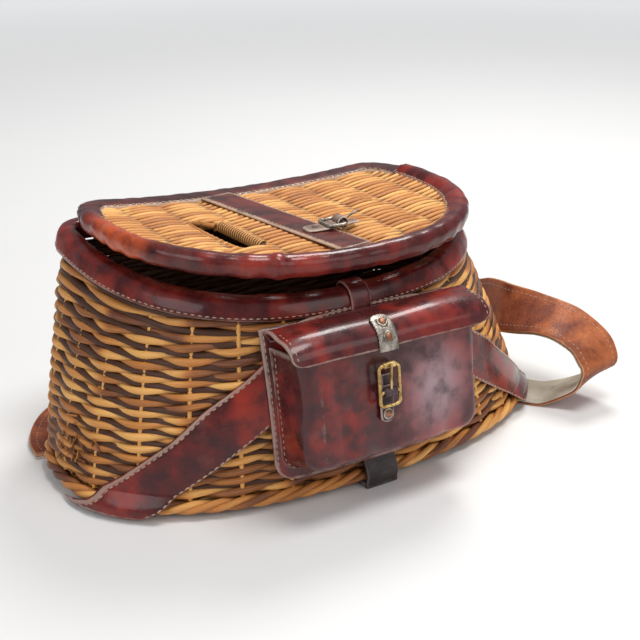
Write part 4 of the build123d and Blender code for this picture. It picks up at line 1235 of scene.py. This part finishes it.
def plate_place(along, across, height):
    at = plate_start + plate_share * along
    inside = np.clip((0.16 - along) / 0.16, 0, 1)
    narrow = 7.0 * (1 - np.sqrt(1 - inside**2 * 0.93)) * 0.85
    spot = along_pairs(flap_path, np.clip(at, 0, 1))
    way = along_pairs(flap_run, np.clip(at, 0, 1))
    past = np.clip(at - 1, 0, 1) * 62
    jag = 0.35 * np.sin(along * 75) * (across < 0.08)
    u = -13.0 + narrow + (plate_width - 2 * narrow) * across + jag
    w = spot[..., 0] - way[..., 1] * (height + 1.3) + way[..., 0] * past
    v = spot[..., 1] + way[..., 0] * (height + 1.3) + way[..., 1] * past
    return pouch_point(*np.broadcast_arrays(u, v, w))


bm = new_mesh()
draw_band(bm, plate_place, 40, plate_width, 0.1, 1.3, columns=8)
build(bm, "flap_metal_plate", zinc, "flap", ["flap_plate"])

washer_profile = [(3.9, 0.0), (3.9, 0.5), (3.6, 0.8), (2.6, 0.8), (2.3, 0.6)]
rivet_profile = [(2.6, 0.3), (2.6, 0.9), (2.3, 1.3), (1.7, 1.7), (1.0, 1.9), (0.3, 2.0)]
bm = new_mesh()
washers = new_mesh()
for at in (0.69, 0.87):
    along = np.array([[(at - plate_start) / plate_share]])
    middle = np.array([[0.5]])
    centre, over = (plate_place(along, middle, np.array([[height]]))[0, 0] for height in (1.2, 2.2))
    draw_lathe(bm, centre, over - centre, rivet_profile)
    draw_lathe(washers, centre, over - centre, washer_profile)
build(washers, "plate_washers", zinc, "flap")
build(bm, "plate_rivets", copper, "flap", ["flap_rivets"])


rivet_u = -8.5
tongue_width = 8.2


def chape_place(along, across, height):
    v = 9.0 - 25.0 * along
    half = 5.0 - 3.0 * np.clip((along - 0.86) / 0.14, 0, 1) ** 2
    u = rivet_u + (2 * across - 1) * half
    w = 34.8 + 2.2 * np.exp(-(((v - 5) / 5.0) ** 2)) + height
    return pouch_point(*np.broadcast_arrays(u, v, w))


def tongue_place(along, across, height):
    v = 3.0 + 13.5 * along
    u = -12.6 + tongue_width * across + 0.5 * np.sin(along * 5)
    return pouch_point(*np.broadcast_arrays(u, v, 35.4 + 1.6 * along + height))


bm = new_mesh()
draw_band(bm, chape_place, 36, 10, 0.0, 1.9)
draw_tube(bm, rod_rings(even(pouch_point(np.array([-12.8, -4.2]), 5.0, 40.2), 6), 3.0, 16))
draw_band(bm, tongue_place, 24, tongue_width, 0.0, 1.5, rub=1.6)
build(bm, "pouch_chape", tongue_leather, "basket", ["pouch_buckle_chape"])
bm = new_mesh()
centre = pouch_point(rivet_u, -10.6, 36.8)
outwards = pouch_point(0, 0, 1) - pouch_point(0, 0, 0)
draw_lathe(bm, centre, outwards, rivet_profile)
washers = new_mesh()
draw_lathe(washers, centre, outwards, washer_profile)
build(washers, "chape_washer", zinc, "basket")
build(bm, "chape_rivet", copper, "basket", ["pouch_chape_rivet"])

# ---------------------------------------------------------------- the broken strap end on the lid
# What is left of the closing strap: a pale stub with a hole drawn as a dark disc of painted shade, a short
# tail and a curled loop that hold its small wire buckle.
worn_leather = leather(
    "worn_leather", dark=rgb(0.07, 0.038, 0.030), middle=rgb(0.25, 0.16, 0.125),
    light=rgb(0.46, 0.35, 0.28), worn=rgb(0.68, 0.57, 0.48), gloss=0.55, cracks=0.5, coat=0.05,
)
stub_y = -28.0


def stub_place(along, across, height):
    x = -19.0 + 23.0 * along
    left = np.clip((0.28 - along) / 0.28, 0, 1)
    half = 6.4 * (0.35 + 0.65 * np.sqrt(1 - left**2))
    y = stub_y + (2 * across - 1) * half + 0.5 * np.sin(along * 7)
    z = lid_height(x) + height + 1.3 * along**2
    return np.stack(np.broadcast_arrays(x, y, z), -1)


def loop_place(along, across, height):
    angle = 1.1 * math.pi - 1.75 * math.pi * along
    radius = 2.9 + 1.2 * along + height
    x = 8.5 + radius * np.cos(angle) + 11.0 * np.clip(along - 0.72, 0, 1)
    y = stub_y + (2 * across - 1) * 4.6 + 1.2 * along
    z = 166.5 + (radius * np.sin(angle)) * 0.95
    return np.stack(np.broadcast_arrays(x, y, z), -1)


def chape_tail_place(along, across, height):
    x = 8.0 + 14.5 * along
    y = stub_y + (2 * across - 1) * (4.8 - 1.8 * along)
    z = lid_height(x) + height + 0.8 * np.sin(along * 3.0)
    return np.stack(np.broadcast_arrays(x, y, z), -1)


bm = new_mesh()
draw_band(bm, stub_place, 30, 12.8, 5.6, 7.3)
draw_band(bm, chape_tail_place, 20, 9.6, 5.6, 7.2)
build(bm, "stub_leather", worn_leather, "lid", ["lid_strap_stub", "lid_buckle_chape"])
bm = new_mesh()
draw_band(bm, loop_place, 26, 9.4, 0.0, 1.2)
build(bm, "stub_loop", worn_leather, "lid")
bm = new_mesh()
# The hole is a dark disc of painted shade laid on the stub.
hole_at = stub_place(np.array([[0.34]]), np.array([[0.5]]), np.array([[7.2]]))[0, 0]
hole_profile = [(2.2, 0.0), (2.1, 0.25), (1.7, 0.3), (1.4, 0.12), (0.4, 0.1)]
draw_lathe(bm, hole_at, (0, 0, 1), hole_profile, sides=14)
build(bm, "stub_hole_shade", dark_leather, "lid")

# ---------------------------------------------------------------- the shoulder strap
# Cracked orange-brown leather lined with cream felt.  It leaves the right end of the basket, turns over
# in a high loop and runs back along the floor behind it.
strap_leather = leather(
    "shoulder_leather", dark=rgb(0.15, 0.032, 0.014), middle=rgb(0.34, 0.085, 0.030),
    light=rgb(0.56, 0.17, 0.055), worn=rgb(0.60, 0.30, 0.15), gloss=0.48, cracks=0.5, coat=0.05,
)
felt = Finish("cream_felt")
felt_brown = rgb(0.42, 0.34, 0.25)
felt_cream = rgb(0.74, 0.68, 0.56)
felt_stain = rgb(0.30, 0.20, 0.13)
felt_fuzz = felt.noise(420.0, 6.0, 0.7)
felt_color = felt.mix(felt.stretch(felt.noise(34.0, 5.0), 0.3, 0.7), felt_brown, felt_cream)
felt_marks = felt.stretch(felt.noise(150.0, 5.0, 0.7), 0.55, 0.72) * 0.5
felt_color = felt.mix(felt_marks, felt_color, felt_stain)
felt.dress(felt_color, 0.95, felt.bump(felt_fuzz, 0.8, 0.0012))
strap_width = 40.0
# Stations along the strap: a point on its inner face, then the way across it.
strap_stations = np.array([
    (124, 8, 2.0, 30, 27, 0), (150, -16, 2.0, 30, 27, 0), (172, -41, 2.0, 30, 26, 0),
    (178, -49, 2.0, 30, 26, 0), (184, -56, 2.8, 30, 26, 0), (194, -68, 9.5, 32, 24, -2),
    (202, -80, 19.5, 36, 17, 0), (206, -89, 33, 40, 4, 0), (206, -85, 43, 40, 3, 6),
    (205, -76, 51, 39, 5, 8), (200, -58, 58.5, 36, 11, 14), (195, -41, 60, 32, 17, 17),
    (190, -22, 58.5, 25, 21, 23), (189, 0, 55, 20, 20, 28), (196, 24, 50, 18, 20, 30),
    (202, 48, 43, 20, 20, 28), (201, 71, 33, 25, 20, 24), (189, 92, 21, 31, 18, 18),
    (172, 112, 11, 31, 24, 10), (144, 127, 4.5, 23, 33, 3), (103, 134, 2.0, 9, 39, 0),
    (50, 136, 2.0, 2, 40, 0), (0, 135, 2.0, 0, 40, 0), (-52, 134, 2.0, -2, 40, 0),
    (-104, 128, 2.0, -15, 37, 0), (-146, 110, 2.0, -29, 27, 0), (-167, 80, 2.0, -39, 8, 0),
    (-171, 55, 2.0, -40, 0, 0),
])
strap_line = smooth_line(strap_stations, 320)
strap_way = along_line(strap_line[:, :3])
strap_across = strap_line[:, 3:] - strap_way * (strap_line[:, 3:] * strap_way).sum(1)[:, None]
strap_across = unit(strap_across)
strap_frame = np.hstack([strap_line[:, :3], strap_across, np.cross(strap_across, strap_way)])


def strap_place(along, across, height):
    spot = along_pairs(strap_frame, along)
    across = np.broadcast_to(across, spot.shape[:-2] + across.shape[-1:])
    height = np.broadcast_to(height, across.shape)
    middle, sideways, out = spot[..., :3], spot[..., 3:6], spot[..., 6:]
    return middle + sideways * (strap_width * (across - 0.5))[..., None] + out * height[..., None]


def lining_place(along, across, height):
    return strap_place(along, across, -height)


bm = new_mesh()
draw_band(bm, strap_place, 320, strap_width, 0.1, 2.0, columns=8)
build(bm, "shoulder_strap_top", strap_leather, "basket", ["shoulder_strap"])
bm = new_mesh()
draw_band(bm, lining_place, 320, strap_width, 0.1, 2.0, columns=8)
build(bm, "shoulder_strap_felt", felt.material, "basket", ["shoulder_strap_lining"])
strap_seams = [seam_on(strap_place, across, 2.0, 600) for across in (0.14, 0.86)]
strap_thread = {"pitch": 4.4, "length": 3.0, "radius": 0.42}
stitch_piece("shoulder_strap_stitches", "basket", strap_seams, slot="strap_leather", **strap_thread)
